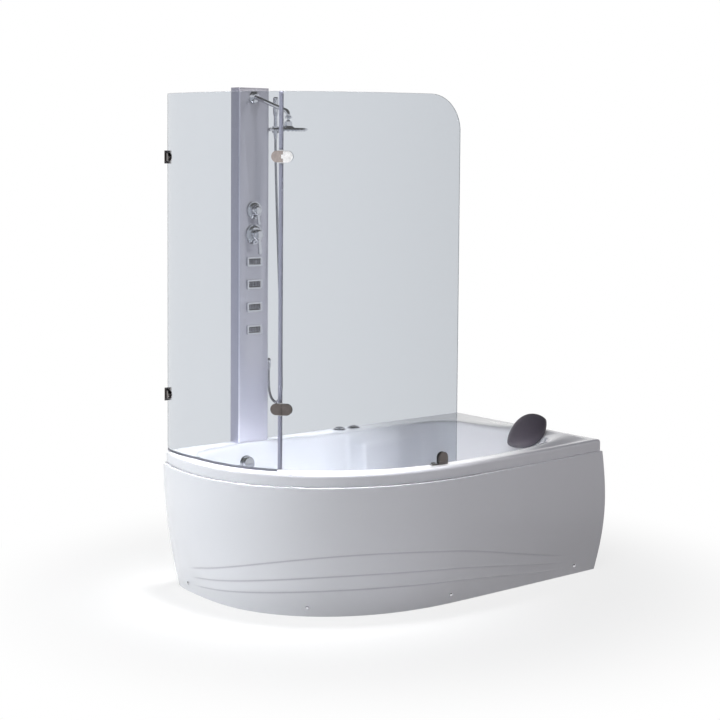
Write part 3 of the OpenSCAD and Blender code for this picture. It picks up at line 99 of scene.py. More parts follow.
class BathColours(bpy.types.PropertyGroup):
    """Colours of the finishes."""

    acrylic: tint("Acrylic", "Gloss white of the shell and apron", (0.86, 0.86, 0.885))
    glass: tint("Glass", "Tint of the screen", (0.6, 0.63, 0.67))
    chrome: tint("Chrome", "Polished fittings", (0.66, 0.66, 0.69))
    dark_chrome: tint("Dark chrome", "Hinges and clamps of the screen", (0.13, 0.115, 0.11))
    column: tint("Column", "Satin column", (0.46, 0.45, 0.5))
    pillow: tint("Pillow", "Skin of the headrest pillow", (0.07, 0.06, 0.075))
    seal: tint("Seal", "Clear seal in the glass joint", (0.68, 0.69, 0.81))
    steel: tint("Steel", "Zinc on the frame", (0.5, 0.51, 0.52))
    board: tint("Board", "Board under the shell", (0.42, 0.3, 0.18))
    pipe: tint("Pipe", "Grey plastic pipes", (0.42, 0.43, 0.44))
    brass: tint("Brass", "Pipes inside the column", (0.6, 0.42, 0.2))


# The bath's form

def lerp(a, b, s):
    return a + (b - a) * s


def smooth(s):
    """Three s squared less two s cubed, held between 0 and 1."""
    c = np.clip(s, 0, 1)
    return c * c * (3 - 2 * c)


def unit(v):
    return v / np.linalg.norm(v, axis=-1, keepdims=True)


def with_z(p, z):
    return np.concatenate([p, np.broadcast_to(z, p.shape[:-1])[..., None]], -1)


def with_x(p, x):
    """Points of the plane at x from pairs of y and z."""
    return np.concatenate([np.full(p.shape[:-1] + (1,), x), p], -1)


class Form:
    """Plan and walls of the bath, as functions of a place t on the rim or of a station i round it."""

    REACH, BULGE, QUARTER, QUARTER_POWER = 0.051, 0.29, 0.809, 2.15
    FALL, FALL_POWER = 0.06, 1.4
    ARC_END, QUARTER_END = 0.125, 0.625
    DECK, COLUMN_DECK, HEAD_DECK = 0.116, 0.072, 0.185
    MOUTH_POWER, MOUTH_SHARE = 7, 0.8
    ARM, ARM_TOP, ARM_HEADINGS = 0.062, 0.13, (34, 46, 68, 82)
    SLOPE, HEAD_SLOPE, FOOT_SLOPE, FLOOR_ROUND = 0.075, 0.215, 0.02, 0.14
    HUMP_HEADING, HUMP_SPREAD, HUMP_START, HUMP_RUN, HUMP_POWER = -14, 24, 0.2, 1.05, 1.5
    TRACK, END, WALL_STEPS = 48, 8, 16

    def __init__(self, s):
        self.s = s
        self.wall = (s.rim_depth + s.apron_proud + 0.003) / 2
        self.left = (s.apron_proud - s.rim_length) / 2
        self.right = self.left + s.rim_length
        self.mid = (self.left + self.right) / 2
        self.front_x = self.left + self.QUARTER
        self.bulge_y = self.wall - self.BULGE
        self.front_y = self.wall - s.rim_depth
        self.quarter_depth = s.rim_depth - self.BULGE
        self.back_arc = self.BULGE / (1 - (1 - self.REACH / self.QUARTER) ** 2) ** 0.5
        self.centre = np.array([self.mid, self.wall - s.rim_depth / 2])
        self.end_y = self.front_y + self.FALL + s.rim_width
        self.stations = self.TRACK + self.END + self.WALL_STEPS
        self.floor = s.rim_height - s.bath_depth

    def edge(self, t):
        """Rim's edge: an ellipse's arc, a superellipse's quarter, then a front that falls back by a power."""
        t = np.asarray(t, float)
        y = self.BULGE * (1 - t / self.ARC_END)
        arc = np.stack([self.left + self.QUARTER * (1 - np.sqrt(np.maximum(0, 1 - (y / self.back_arc) ** 2))),
                        self.bulge_y + y], -1)
        w = np.pi / 2 * np.clip((t - self.ARC_END) / (self.QUARTER_END - self.ARC_END), 0, 1)
        power = 2 / self.QUARTER_POWER
        quarter = np.stack([self.front_x - self.QUARTER * np.maximum(0, np.cos(w)) ** power,
                            self.bulge_y - self.quarter_depth * np.sin(w) ** power], -1)
        s = np.clip((t - self.QUARTER_END) / (1 - self.QUARTER_END), 0, 1)
        front = np.stack([lerp(self.front_x, self.right, s),
                          self.front_y + self.FALL * s ** self.FALL_POWER], -1)
        k = t[..., None]
        return np.where(k < self.ARC_END, arc, np.where(k < self.QUARTER_END, quarter, front))

    def inward(self, t):
        """Unit vector into the bath, turned square to the wall and to the right end at the two ends."""
        t = np.asarray(t, float)
        d = unit(self.edge(np.minimum(1, t + 0.002)) - self.edge(np.maximum(0, t - 0.002)))
        return unit(np.stack([-d[..., 1] * smooth((1 - t) / 0.08), d[..., 0] * smooth(t / 0.08)], -1))

    def track(self, t, d):
        """Curve that runs d inside the rim's edge."""
        return self.edge(t) + np.asarray(d, float)[..., None] * self.inward(t)

    def heading(self, t, d):
        v = self.track(min(1, t + 0.003), d) - self.track(max(0, t - 0.003), d)
        return float(np.arctan2(v[1], v[0]))

    def _by_station(self, i, on_track, end_y, start_x):
        i = np.asarray(i, float) % self.stations
        k = i[..., None]
        end = np.stack([0 * i + self.right, lerp(end_y, self.wall, (i - self.TRACK) / self.END)], -1)
        along = (i - self.TRACK - self.END) / self.WALL_STEPS
        back = np.stack([lerp(self.right, start_x, along), 0 * i + self.wall], -1)
        return np.where(k < self.TRACK, on_track(np.clip(i / self.TRACK, 0, 1)),
                        np.where(k < self.TRACK + self.END, end, back))

    def rim(self, i):
        return self._by_station(i, self.edge, self.front_y + self.FALL, self.left + self.REACH)

    def aim(self, i):
        """Unit vector from the bath's centre to a station."""
        return unit(self.aim_point(i) - self.centre)

    def aim_point(self, i):
        return self._by_station(i, lambda t: self.track(t, self.s.rim_width), self.end_y,
                                self.left + self.REACH + self.s.rim_width)

    def radius(self, i):
        """Distance to the bath's mouth: the negative power mean of the limits that its sides set."""
        i = np.asarray(i, float) % self.stations
        b = self.aim_point(i) - self.centre
        a = unit(b)
        with np.errstate(divide="ignore", invalid="ignore"):
            foot = (self.left + self.REACH + self.s.rim_width - self.centre[0]) / a[..., 0]
            front = (self.end_y - self.centre[1]) / a[..., 1]
            own = np.where(i < self.TRACK, np.linalg.norm(b, axis=-1),
                           np.where(a[..., 0] < 0, foot, np.where(a[..., 1] < 0, front, 1e2)))
            head = np.where(a[..., 0] > 0.01, (self.right - self.HEAD_DECK - self.centre[0]) / a[..., 0], 1e2)
            x = self.centre[0] + self.MOUTH_SHARE * b[..., 0]
            deck = lerp(self.COLUMN_DECK, self.DECK, smooth((x - self.mid + 0.3) / 0.24))
            back = np.where(a[..., 1] > 0.01, (self.wall - deck - self.centre[1]) / a[..., 1], 1e2)
        power = -self.MOUTH_POWER
        return (own ** power + head ** power + back ** power) ** (1 / power)

    def arm(self, i):
        a = self.aim(i)
        g = np.degrees(np.arctan2(a[..., 1], a[..., 0]))
        start, full, end, gone = self.ARM_HEADINGS
        return smooth((g - start) / (full - start)) * smooth((gone - g) / (gone - end))

    def inset(self, i, f):
        """How far the wall has come in at share f of the depth: slope, cubic round at the floor, armrest."""
        x = self.aim(i)[..., 0]
        head, foot = np.maximum(0, x) ** 3, np.maximum(0, -x) ** 3
        slope = self.SLOPE + self.HEAD_SLOPE * head + self.FOOT_SLOPE * foot
        floor = self.FLOOR_ROUND * (1 - np.maximum(0, 1 - f ** 3) ** (1 / 3))
        return slope * f + floor + self.ARM * self.arm(i) * smooth(f / self.ARM_TOP)

    def bath(self, i, f):
        i, f = np.broadcast_arrays(np.asarray(i, float), np.asarray(f, float))
        p = self.centre + (self.radius(i) - self.inset(i, f))[..., None] * self.aim(i)
        return with_z(p, self.s.rim_height - self.s.bath_depth * f)

    def normal(self, i, f):
        """Unit vector off the bath's wall, from the cross product of its two differences."""
        along = self.bath(i + 0.2, f) - self.bath(i - 0.2, f)
        down = self.bath(i, f + 0.01) - self.bath(i, f - 0.01)
        return unit(np.cross(along, down))

    def deck(self, i, s):
        """Deck from the rim at s = 0 to the bath's mouth at s = 1, with the headrest hump: a bell curve of
        the heading times a power of a half sine across the deck."""
        i, s = np.broadcast_arrays(np.asarray(i, float), np.asarray(s, float))
        a = self.aim(i)
        p = lerp(self.rim(i), self.centre + self.radius(i)[..., None] * a, s[..., None])
        g = np.degrees(np.arctan2(a[..., 1], a[..., 0]))
        bell = np.exp(-((g - self.HUMP_HEADING) / self.HUMP_SPREAD) ** 2)
        across = np.sin(np.pi * np.clip(self.HUMP_RUN * s - self.HUMP_START, 0, 1)) ** self.HUMP_POWER
        return with_z(p, self.s.rim_height + self.s.hump_height * bell * across)


# Mesh tools

def put_mesh(name, points, faces, smooth_faces=True):
    """Makes a mesh object from an array of points and an array of quads or triangles."""
    mesh = bpy.data.meshes.new(name)
    points = np.asarray(points, float).reshape(-1, 3)
    groups = faces if isinstance(faces, list) else [faces]
    loops = np.concatenate([np.asarray(g).ravel() for g in groups]).astype(np.int32)
    sizes = np.concatenate([np.full(len(g), np.asarray(g).shape[1]) for g in groups]).astype(np.int32)
    mesh.vertices.add(len(points))
    mesh.vertices.foreach_set("co", points.astype(np.float32).ravel())
    mesh.loops.add(len(loops))
    mesh.loops.foreach_set("vertex_index", loops)
    mesh.polygons.add(len(sizes))
    mesh.polygons.foreach_set("loop_start", (np.cumsum(sizes) - sizes).astype(np.int32))
    mesh.update(calc_edges=True)
    mesh.validate()
    mesh.polygons.foreach_set("use_smooth", np.full(len(mesh.polygons), smooth_faces))
    piece = bpy.data.objects.new(name, mesh)
    bpy.context.scene.collection.objects.link(piece)
    return piece


def grid_faces(rows, columns, wrap_rows=False, wrap_columns=False, start=0, flip=False):
    """Quads of a grid of points stored row by row."""
    r = np.arange(rows if wrap_rows else rows - 1)
    c = np.arange(columns if wrap_columns else columns - 1)
    a, b = np.meshgrid(r, c, indexing="ij")
    a2, b2 = (a + 1) % rows, (b + 1) % columns
    quads = np.stack([a * columns + b, a * columns + b2, a2 * columns + b2, a2 * columns + b], -1)
    quads = quads.reshape(-1, 4) + start
    return quads[:, ::-1] if flip else quads


def capped(name, rings, ends, smooth_faces=True):
    """Closed tube through rings of points, with one point in the middle of each end."""
    rows, sides = rings.shape[:2]
    n = rows * sides
    k, k2 = np.arange(sides), (np.arange(sides) + 1) % sides
    faces = [grid_faces(rows, sides, wrap_columns=True), np.stack([np.full(sides, n), k, k2], -1),
             np.stack([n - sides + k, np.full(sides, n + 1), n - sides + k2], -1)]
    points = np.concatenate([rings.reshape(-1, 3), ends])
    return outward(put_mesh(name, points, faces, smooth_faces))


def tube(path, radius, sides, up, name):
    """Circle carried along a path: each ring is radius times cosine of up plus sine of the side vector."""
    path = np.asarray(path, float)
    tangent = unit(np.gradient(path, axis=0))
    side = unit(np.cross(tangent, up))
    top = np.cross(side, tangent)
    a = np.linspace(0, 2 * np.pi, sides, endpoint=False)
    r = np.broadcast_to(radius, (len(path),))[:, None, None]
    cos, sin = np.cos(a)[None, :, None], np.sin(a)[None, :, None]
    rings = path[:, None] + r * (cos * top[:, None] + sin * side[:, None])
    return capped(name, rings, path[[0, -1]])


def outward(piece):
    """Turns every face of a closed mesh to point outwards."""
    work = bmesh.new()
    work.from_mesh(piece.data)
    bmesh.ops.remove_doubles(work, verts=work.verts, dist=1e-7)
    bmesh.ops.recalc_face_normals(work, faces=work.faces)
    work.to_mesh(piece.data)
    work.free()
    return piece


def cut(piece, cutters):
    """Takes the cutters out of a closed piece."""
    for cutter in cutters:
        step = piece.modifiers.new("cut", "BOOLEAN")
        step.object = cutter
        step.operation = "DIFFERENCE"
        step.solver = "EXACT"
    bpy.context.view_layer.update()
    graph = bpy.context.evaluated_depsgraph_get()
    mesh = bpy.data.meshes.new_from_object(piece.evaluated_get(graph))
    piece.modifiers.clear()
    piece.data = mesh
    for cutter in cutters:
        bpy.data.objects.remove(cutter)


def hole_cutter(point, normal, radius, low, high):
    """Rod through a wall, from low to high along its normal."""
    point, normal = np.asarray(point, float), np.asarray(normal, float)
    up = np.array([0, 0, 1.0]) if abs(normal[2]) < 0.9 else np.array([1.0, 0, 0])
    return tube([point + normal * low, point + normal * high], radius, 64, up, "cutter")


def slab(name, near, far):
    """Closed sheet between two grids of points of one size, joined round their borders."""
    rows, columns = near.shape[:2]
    n = rows * columns
    i, j = np.arange(rows - 1), np.arange(columns - 1)
    loop = np.concatenate([j, i * columns + columns - 1, (rows - 1) * columns + j[::-1] + 1,
                           (i[::-1] + 1) * columns])
    after = np.roll(loop, -1)
    faces = [grid_faces(rows, columns), grid_faces(rows, columns, start=n, flip=True),
             np.stack([loop, after, n + after, n + loop], -1)]
    return outward(put_mesh(name, np.concatenate([near.reshape(-1, 3), far.reshape(-1, 3)]), faces))


def spun(profile, place, axis, name, sides=72, smooth_faces=True):
    """Surface of revolution: distances along the axis and radii, carried round by cosine and sine."""
    profile = np.asarray(profile, float)
    axis = unit(np.asarray(axis, float))
    side = unit(np.cross(axis, [1.0, 0, 0] if abs(axis[0]) < 0.9 else [0, 1.0, 0]))
    a = np.linspace(0, 2 * np.pi, sides, endpoint=False)
    ring = np.cos(a)[:, None] * side + np.sin(a)[:, None] * np.cross(axis, side)
    middles = np.asarray(place, float) + profile[:, :1] * axis
    rings = middles[:, None] + profile[:, None, 1:] * ring[None]
    return capped(name, rings, middles[[0, -1]], smooth_faces)


def rounded(points, radius, steps=5):
    """Profile through corner points, each turned with a quadratic Bezier curve."""
    p = np.asarray(points, float)
    u = np.linspace(0, 1, steps)[:, None]
    out = [p[:1]]
    for a, b, c in zip(p[:-2], p[1:-1], p[2:]):
        r = min(radius, 0.45 * np.linalg.norm(a - b), 0.45 * np.linalg.norm(c - b))
        start, end = b + r * unit(a - b), b + r * unit(c - b)
        out.append((1 - u) ** 2 * start + 2 * u * (1 - u) * b + u ** 2 * end)
    return np.concatenate([*out, p[-1:]])


def joined(pieces, name):
    """Joins the meshes of several objects into one new object."""
    work = bmesh.new()
    for piece in pieces:
        work.from_mesh(piece.data)
    mesh = bpy.data.meshes.new(name)
    work.to_mesh(mesh)
    work.free()
    for piece in pieces:
        bpy.data.objects.remove(piece)
    whole = bpy.data.objects.new(name, mesh)
    bpy.context.scene.collection.objects.link(whole)
    return whole


def block(low, high, turn, at, name):
    """Box between two corners, turned about z and moved to its place."""
    low, high = np.asarray(low, float), np.asarray(high, float)
    k = np.array([[x, y, z] for x in (0, 1) for y in (0, 1) for z in (0, 1)], float)
    p = low + k * (high - low)
    c, s = np.cos(turn), np.sin(turn)
    p = p @ np.array([[c, s, 0], [-s, c, 0], [0, 0, 1]]) + np.asarray(at, float)
    quads = np.array([[0, 1, 3, 2], [4, 6, 7, 5], [0, 4, 5, 1], [2, 3, 7, 6], [0, 2, 6, 4], [1, 5, 7, 3]])
    return outward(put_mesh(name, p, quads, False))


def settle(piece, body, material, *nodes):
    """Rides a new piece on its body in place of its CAD nodes."""
    piece.data.materials.clear()
    piece.data.materials.append(material)
    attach(piece, body)
    if nodes:
        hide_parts(*nodes)
    return piece


def slot_of(node):
    return next(p["material_slot"] for p in frame["record"]["subparts"] if p["node"] == node)


# Materials

def shade(colour, k):
    return tuple(min(1.0, c * k) for c in colour)


def own(name, k=1):
    """A colour of the sidebar, times a share."""
    return shade(tuple(getattr(bpy.context.scene.bath_colours, name)), k)


class Nodes:
    """A node tree, with short ways to add nodes and to join them."""

    def __init__(self, tree):
        self.tree = tree

    def first(self, kind):
        return next(n for n in self.tree.nodes if n.type == kind)

    def node(self, kind, **values):
        n = self.tree.nodes.new(kind)
        for key, value in values.items():
            if hasattr(n, key):
                setattr(n, key, value)
            else:
                n.inputs[key.replace("_", " ")].default_value = value
        return n

    def link(self, a, b):
        self.tree.links.new(a, b)

    def spread(self, value, low, high, bottom=0.35, top=0.65, kind="LINEAR"):
        """Maps a value between bottom and top to a range."""
        m = self.node("ShaderNodeMapRange", interpolation_type=kind, From_Min=bottom, From_Max=top,
                      To_Min=low, To_Max=high)
        self.link(value, m.inputs["Value"])
        return m.outputs["Result"]

    def combine(self, kind, a, b):
        """Joins two values, or a number and a value, with a sum of the kind that is named."""
        m = self.node("ShaderNodeMath", operation=kind)
        for socket, side in zip(m.inputs, (a, b)):
            if isinstance(side, float):
                socket.default_value = side
            else:
                self.link(side, socket)
        return m.outputs[0]

    def ray(self, kind):
        return self.node("ShaderNodeLightPath").outputs["Is " + kind + " Ray"]

    def seen(self):
        """1 for rays from the camera, in gloss and through glass."""
        total = self.combine("MAXIMUM", self.ray("Camera"), self.ray("Glossy"))
        return self.combine("MAXIMUM", total, self.ray("Transmission"))


class Finish(Nodes):
    """A node material built round one Principled shader."""

    def __init__(self, name, colour, roughness, metallic=0.0, **sockets):
        self.material = bpy.data.materials.new(name)
        self.material.use_nodes = True
        super().__init__(self.material.node_tree)
        self.colour = colour
        self.shader = self.first("BSDF_PRINCIPLED")
        self.shader.inputs["Base Color"].default_value = (*colour, 1)
        self.shader.inputs["Roughness"].default_value = roughness
        self.shader.inputs["Metallic"].default_value = metallic
        for key, value in sockets.items():
            self.shader.inputs[key.replace("_", " ")].default_value = value

    def place(self, scale=(1, 1, 1)):
        """Object coordinates, stretched."""
        m = self.node("ShaderNodeMapping", Scale=scale)
        self.link(self.node("ShaderNodeTexCoord").outputs["Object"], m.inputs["Vector"])
        return m.outputs["Vector"]

    def noise(self, scale, detail=4, stretch=(1, 1, 1)):
        n = self.node("ShaderNodeTexNoise", Scale=scale, Detail=detail)
        self.link(self.place(stretch), n.inputs["Vector"])
        return n.outputs["Fac"]

    def cells(self, scale, stretch=(1, 1, 1)):
        n = self.node("ShaderNodeTexVoronoi", Scale=scale)
        self.link(self.place(stretch), n.inputs["Vector"])
        return n.outputs["Distance"]

    def along(self, axis, low, high, bottom, top):
        """Maps an object coordinate to a range."""
        where = self.node("ShaderNodeSeparateXYZ")
        self.link(self.place(), where.inputs[0])
        return self.spread(where.outputs[axis], low, high, bottom, top)

    def mix(self, share, colour, kind="MIX"):
        """Puts a colour mix before the shader and gives the socket of its first colour."""
        m = self.node("ShaderNodeMix", data_type="RGBA", blend_type=kind)
        first, second = [socket for socket in m.inputs if socket.type == "RGBA"][:2]
        second.default_value = (*colour, 1)
        self.link(share, m.inputs["Factor"])
        self.link(next(o for o in m.outputs if o.type == "RGBA"), self.shader.inputs["Base Color"])
        return first

    def mottle(self, share, low, high):
        """Colour that drifts between two colours."""
        self.mix(share, high).default_value = (*low, 1)

    def wash(self, share, colour):
        """Multiplies the colour by another one where the share is 1."""
        before = self.shader.inputs["Base Color"].links[0].from_socket
        self.link(before, self.mix(share, colour, "MULTIPLY"))

    def drift(self, noise, low, high):
        """Lets the colour drift between two shades of it with noise."""
        self.mottle(self.noise(*noise), shade(self.colour, low), shade(self.colour, high))

    def polish(self, noise, low, high):
        """Lets the roughness drift between two values with noise."""
        self.link(self.spread(self.noise(*noise), low, high), self.shader.inputs["Roughness"])

    def bump(self, value, strength, distance):
        """Adds bumps to those that the shader already has."""
        b = self.node("ShaderNodeBump", Strength=strength, Distance=distance)
        self.link(value, b.inputs["Height"])
        last = self.shader.inputs["Normal"].links
        if last:
            self.link(last[0].from_socket, b.inputs["Normal"])
        self.link(b.outputs["Normal"], self.shader.inputs["Normal"])

    def grain(self, noise, strength, distance):
        self.bump(self.noise(*noise), strength, distance)

    def show(self, share, other):
        """Shows another shader in place of the first where the share is 1."""
        m = self.node("ShaderNodeMixShader")
        for socket, value in zip(m.inputs, (share, self.shader.outputs[0], other.outputs[0])):
            self.link(value, socket)
        self.link(m.outputs[0], self.first("OUTPUT_MATERIAL").inputs["Surface"])


def kept(maker, name=None):
    """Keeps a finish after it is first made."""
    full = "bath_" + (name or maker.__name__)
    return lambda: bpy.data.materials.get(full) or maker(full)


def even(name, colour, drift, polish, *grains, **inputs):
    """Maker of a finish whose colour and roughness drift with noise, over the grains that are given."""
    def make(full):
        f = Finish(full, own(*colour), **inputs)
        f.drift(*drift)
        f.polish(*polish)
        for grain in grains:
            f.grain(*grain)
        return f.material
    return kept(make, name)


TALL = (1, 1, 0.1)
chrome = even("chrome", ("chrome",), ((30, 3), 0.93, 1.04), ((55, 6, (1, 1, 0.3)), 0.035, 0.11),
              ((900, 2), 0.015, 0.0001), roughness=0.06, metallic=1.0)
glass_edge = even("glass_edge", ("glass", 0.42), ((25, 3), 0.85, 1.15), ((120, 3), 0.22, 0.4),
                  roughness=0.3, Transmission_Weight=0.3, IOR=1.45)
clear_seal = even("clear_seal", ("seal",), ((12, 3, TALL), 0.92, 1.04), ((40, 4, TALL), 0.16, 0.3),
                  roughness=0.22, Transmission_Weight=0.55, IOR=1.3)
dark_seal = even("dark_seal", ("seal", 0.33), ((15, 3, TALL), 0.85, 1.1), ((50, 4), 0.28, 0.42),
                 roughness=0.35, Transmission_Weight=0.2, IOR=1.35)
hose_metal = even("hose_metal", ("chrome", 0.65), ((80, 3), 0.57 / 0.65, 0.72 / 0.65),
                  ((200, 3), 0.12, 0.26), roughness=0.18, metallic=1.0)
grey_plastic = even("grey_plastic", ("pipe",), ((9, 4), 0.93, 1.06), ((50, 4), 0.36, 0.5),
                    ((260, 3), 0.06, 0.0003), roughness=0.42)
brass = even("brass", ("brass",), ((26, 5), 0.7, 1.1), ((60, 4), 0.22, 0.42), roughness=0.3, metallic=1.0)


def gloss_white(name):
    """Gloss white: a faint drift of colour, a slow ripple of the moulding and a fine orange peel."""
    f = Finish(name, own("acrylic"), 0.16, Coat_Weight=0.6, Coat_Roughness=0.05, IOR=1.49)
    f.drift((2.2, 3), 0.985, 1.01)
    f.polish((14, 5), 0.13, 0.2)
    f.grain((5, 2), 0.12, 0.0012)
    f.grain((420, 3), 0.03, 0.0003)
    return f


@kept
def acrylic(name):
    return gloss_white(name).material


@kept
def apron_acrylic(name):
    """The same white with painted shade along the wave lines, marked as groove in the mesh, and a painted
    shadow of the lip on the ledge, fading out towards the head end.
    """
    f = gloss_white(name)
    # painted shade along the wave lines, where the mesh marks them as groove
    f.wash(f.node("ShaderNodeAttribute", attribute_name="groove").outputs["Fac"], (0.7, 0.69, 0.73))
    ledge = apron_top(sizes())
    # painted shadow under the lip: the ledge is darkened at the foot end and fades out towards the head end
    high = f.along("Z", 0, 1, ledge - 0.0008, ledge - 0.0003)
    f.wash(f.combine("MINIMUM", high, f.along("X", 1, 0, -0.1, 0.4)), (0.42, 0.42, 0.44))
    return f.material


def brushed(name, low, high):
    """Satin metal brushed along z, with one tone at the foot of the screen and one at its top."""
    f = Finish(name, low, 0.22, 1.0)
    f.mottle(f.along("Z", 0, 1, 1.2, 1.5), low, high)
    f.wash(f.spread(f.noise(60, 4), 0, 1), (0.8, 0.8, 0.8))
    f.polish((400, 3, (1, 1, 0.04)), 0.1, 0.2)
    f.grain((700, 2, (1, 1, 0.03)), 0.03, 0.0001)
    return f.material


@kept
def dark_chrome(name):
    return brushed(name, own("dark_chrome"), own("dark_chrome", 0.8))


@kept
def fixed_leaf(name):
    """Hinge leaves on the fixed pane, the upper one paler with a painted highlight."""
    # painted highlight: the upper leaf takes the paler tone
    return brushed(name, own("dark_chrome", 1.2), own("dark_chrome", 3.4))


@kept
def door_leaf(name):
    """Hinge leaves on the door, the upper one painted nearly white as a highlight."""
    # painted highlight: the upper leaf is nearly white
    return brushed(name, own("dark_chrome", 1.2), (0.97, 0.97, 0.98))


@kept
def column_satin(name):
    """Satin column with painted light: a painted reflection makes it lighter towards the foot, painted shade
    makes its left side bluer and a painted highlight brightens its left edge.
    """
    f = Finish(name, own("column"), 0.3, 0.8)
    # painted reflection of the white bath below: the tone rises towards the foot
    f.mottle(f.along("Z", 1, 0, 0.62, 2.1), own("column", 0.82), own("column", 1.7))
    left = form().left + COLUMN_X - COLUMN_HALF
    # painted shade on the left side in a bluer grey, then a painted highlight along the left edge of the
    # front
    for low, high, colour in ((0.0004, 0.0008, (0.47, 0.475, 0.52)), (0.0046, 0.006, (1.3, 1.3, 1.34))):
        f.wash(f.along("X", 1, 0, left + low, left + high), colour)
    f.polish((900, 3, (1, 1, 0.01)), 0.28, 0.33)
    f.grain((1500, 2, (1, 1, 0.005)), 0.015, 0.00005)
    return f.material


@kept
def screen_glass(name):
    """Clear glass that lets the lamps through, with painted shade that deepens its grey tint a little towards
    the door.
    """
    f = Finish(name, own("glass"), 0.015, Transmission_Weight=1.0, IOR=1.45)
    left = form().left
    # painted shade: lighter at the wall end, darker towards the door
    f.mottle(f.along("X", 0, 1, left, left + 0.9), own("glass", 1.08), own("glass", 0.92))
    f.polish((3, 4), 0.0, 0.004)
    f.show(f.ray("Shadow"), f.node("ShaderNodeBsdfTransparent", Color=(0.93, 0.94, 0.95, 1)))
    return f.material


@kept
def pillow_skin(name):
    """Dark moulded foam skin with a fine leather grain."""
    f = Finish(name, own("pillow"), 0.5, Sheen_Weight=0.15, Sheen_Roughness=0.5)
    f.drift((9, 4), 0.85, 1.3)
    f.polish((60, 5), 0.42, 0.58)
    f.bump(f.cells(620), 0.25, 0.0004)
    f.grain((90, 4), 0.15, 0.0006)
    return f.material


@kept
def jet_face(name):
    """Dark satin plates of the body jets, whose rubber nozzles stand out in a paler grey."""
    f = Finish(name, own("column", 0.26), 0.3)
    front = form().wall - JET_PLATE
    nozzles = f.along("Y", 1, 0, front - 0.0004, front)
    specks = f.spread(f.noise(150, 4), 0, 0.5, 0.45, 0.7)
    f.mottle(f.combine("MAXIMUM", nozzles, specks), shade(f.colour, 0.8), shade(f.colour, 4))
    f.polish((160, 3), 0.24, 0.38)
    f.grain((800, 2), 0.05, 0.0001)
    return f.material


@kept
def zinc(name):
    """Zinc-plated steel with a spangle."""
    f = Finish(name, own("steel"), 0.4, 0.9)
    f.mottle(f.cells(90), own("steel", 0.8), own("steel", 1.1))
    f.polish((60, 4), 0.32, 0.52)
    return f.material


@kept
def chipboard(name):
    f = Finish(name, own("board"), 0.75)
    f.mottle(f.cells(160, (1, 0.5, 1)), own("board", 0.6), own("board", 1.5))
    f.grain((300, 3), 0.3, 0.0004)
    return f.material


@kept
def air_hose(name):
    f = Finish(name, (0.42, 0.5, 0.6), 0.3, Transmission_Weight=0.3)
    f.drift((20, 3), 0.9, 1.08)
    f.polish((80, 3), 0.25, 0.38)
    return f.material


@kept
def pump_plastic(name):
    f = Finish(name, (0.03, 0.03, 0.033), 0.45)
    f.mottle(f.noise(24, 4), (0.022, 0.022, 0.025), (0.045, 0.045, 0.05))
    f.polish((90, 4), 0.38, 0.55)
    f.grain((500, 3), 0.12, 0.0003)
    return f.material


@kept
def motor_paint(name):
    f = Finish(name, (0.06, 0.08, 0.11), 0.35, Coat_Weight=0.3)
    f.mottle(f.noise(16, 4), (0.05, 0.068, 0.095), (0.075, 0.098, 0.13))
    f.polish((70, 4), 0.28, 0.45)
    f.grain((300, 3), 0.08, 0.0003)
    return f.material


FINISHES = {
    "white_acrylic": acrylic, "chipboard": chipboard, "zinc_steel": zinc, "foot_steel": zinc,
    "chrome_trim": chrome, "jet_face": jet_face, "hose_metal": hose_metal, "dark_chrome": dark_chrome,
    "screen_glass": screen_glass, "clear_seal": clear_seal, "column_aluminium": column_satin,
    "brass_pipe": brass, "grey_plastic": grey_plastic, "air_hose": air_hose,
    "pump_plastic": pump_plastic, "motor_paint": motor_paint, "pillow_foam": pillow_skin,
}
OWN_FINISH = {"hinge_fixed_leaves": fixed_leaf, "hinge_door_leaves": door_leaf}


WELD, SHARP, BEVEL_FROM = 0.00002, 0.56, 0.7


def soft_edges():
    """Geometry nodes that weld a mesh and shade it smooth, sharp where faces meet at more than 32 degrees."""
    group = bpy.data.node_groups.get("soft_edges")
    if group:
        return group
    group = bpy.data.node_groups.new("soft_edges", "GeometryNodeTree")
    group.interface.new_socket("Geometry", in_out="INPUT", socket_type="NodeSocketGeometry")
    group.interface.new_socket("Geometry", in_out="OUTPUT", socket_type="NodeSocketGeometry")
    tree = Nodes(group)
    weld = tree.node("GeometryNodeMergeByDistance", Distance=WELD)
    faces = tree.node("GeometryNodeSetShadeSmooth")
    edges = tree.node("GeometryNodeSetShadeSmooth", domain="EDGE")
    sharp = tree.node("FunctionNodeCompare", operation="LESS_THAN", B=SHARP)
    tree.link(tree.node("NodeGroupInput").outputs[0], weld.inputs["Geometry"])
    tree.link(weld.outputs["Geometry"], faces.inputs["Geometry"])
    tree.link(faces.outputs["Geometry"], edges.inputs["Geometry"])
    angle = tree.node("GeometryNodeInputMeshEdgeAngle")
    tree.link(angle.outputs["Unsigned Angle"], sharp.inputs["A"])
    tree.link(sharp.outputs["Result"], edges.inputs["Shade Smooth"])
    tree.link(edges.outputs["Geometry"], tree.node("NodeGroupOutput").inputs[0])
    return group


# The pieces

def sizes():
    return bpy.context.scene.bath_sizes


def form():
    return Form(sizes())


def catmull(points, steps):
    """Catmull-Rom curve through points: a cubic between each pair, whose slope at a point joins its
    neighbours."""
    p = np.asarray(points, float)
    q = np.concatenate([p[:1], p, p[-1:]])
    a, b, c, d = q[:-3, None], q[1:-2, None], q[2:-1, None], q[3:, None]
    s = np.linspace(0, 1, steps, endpoint=False)[None, :, None]
    square, cube = 2 * a - 5 * b + 4 * c - d, 3 * b - a - 3 * c + d
    curve = 0.5 * (2 * b + (c - a) * s + square * s ** 2 + cube * s ** 3)
    return np.concatenate([curve.reshape(-1, p.shape[1]), p[-1:]])


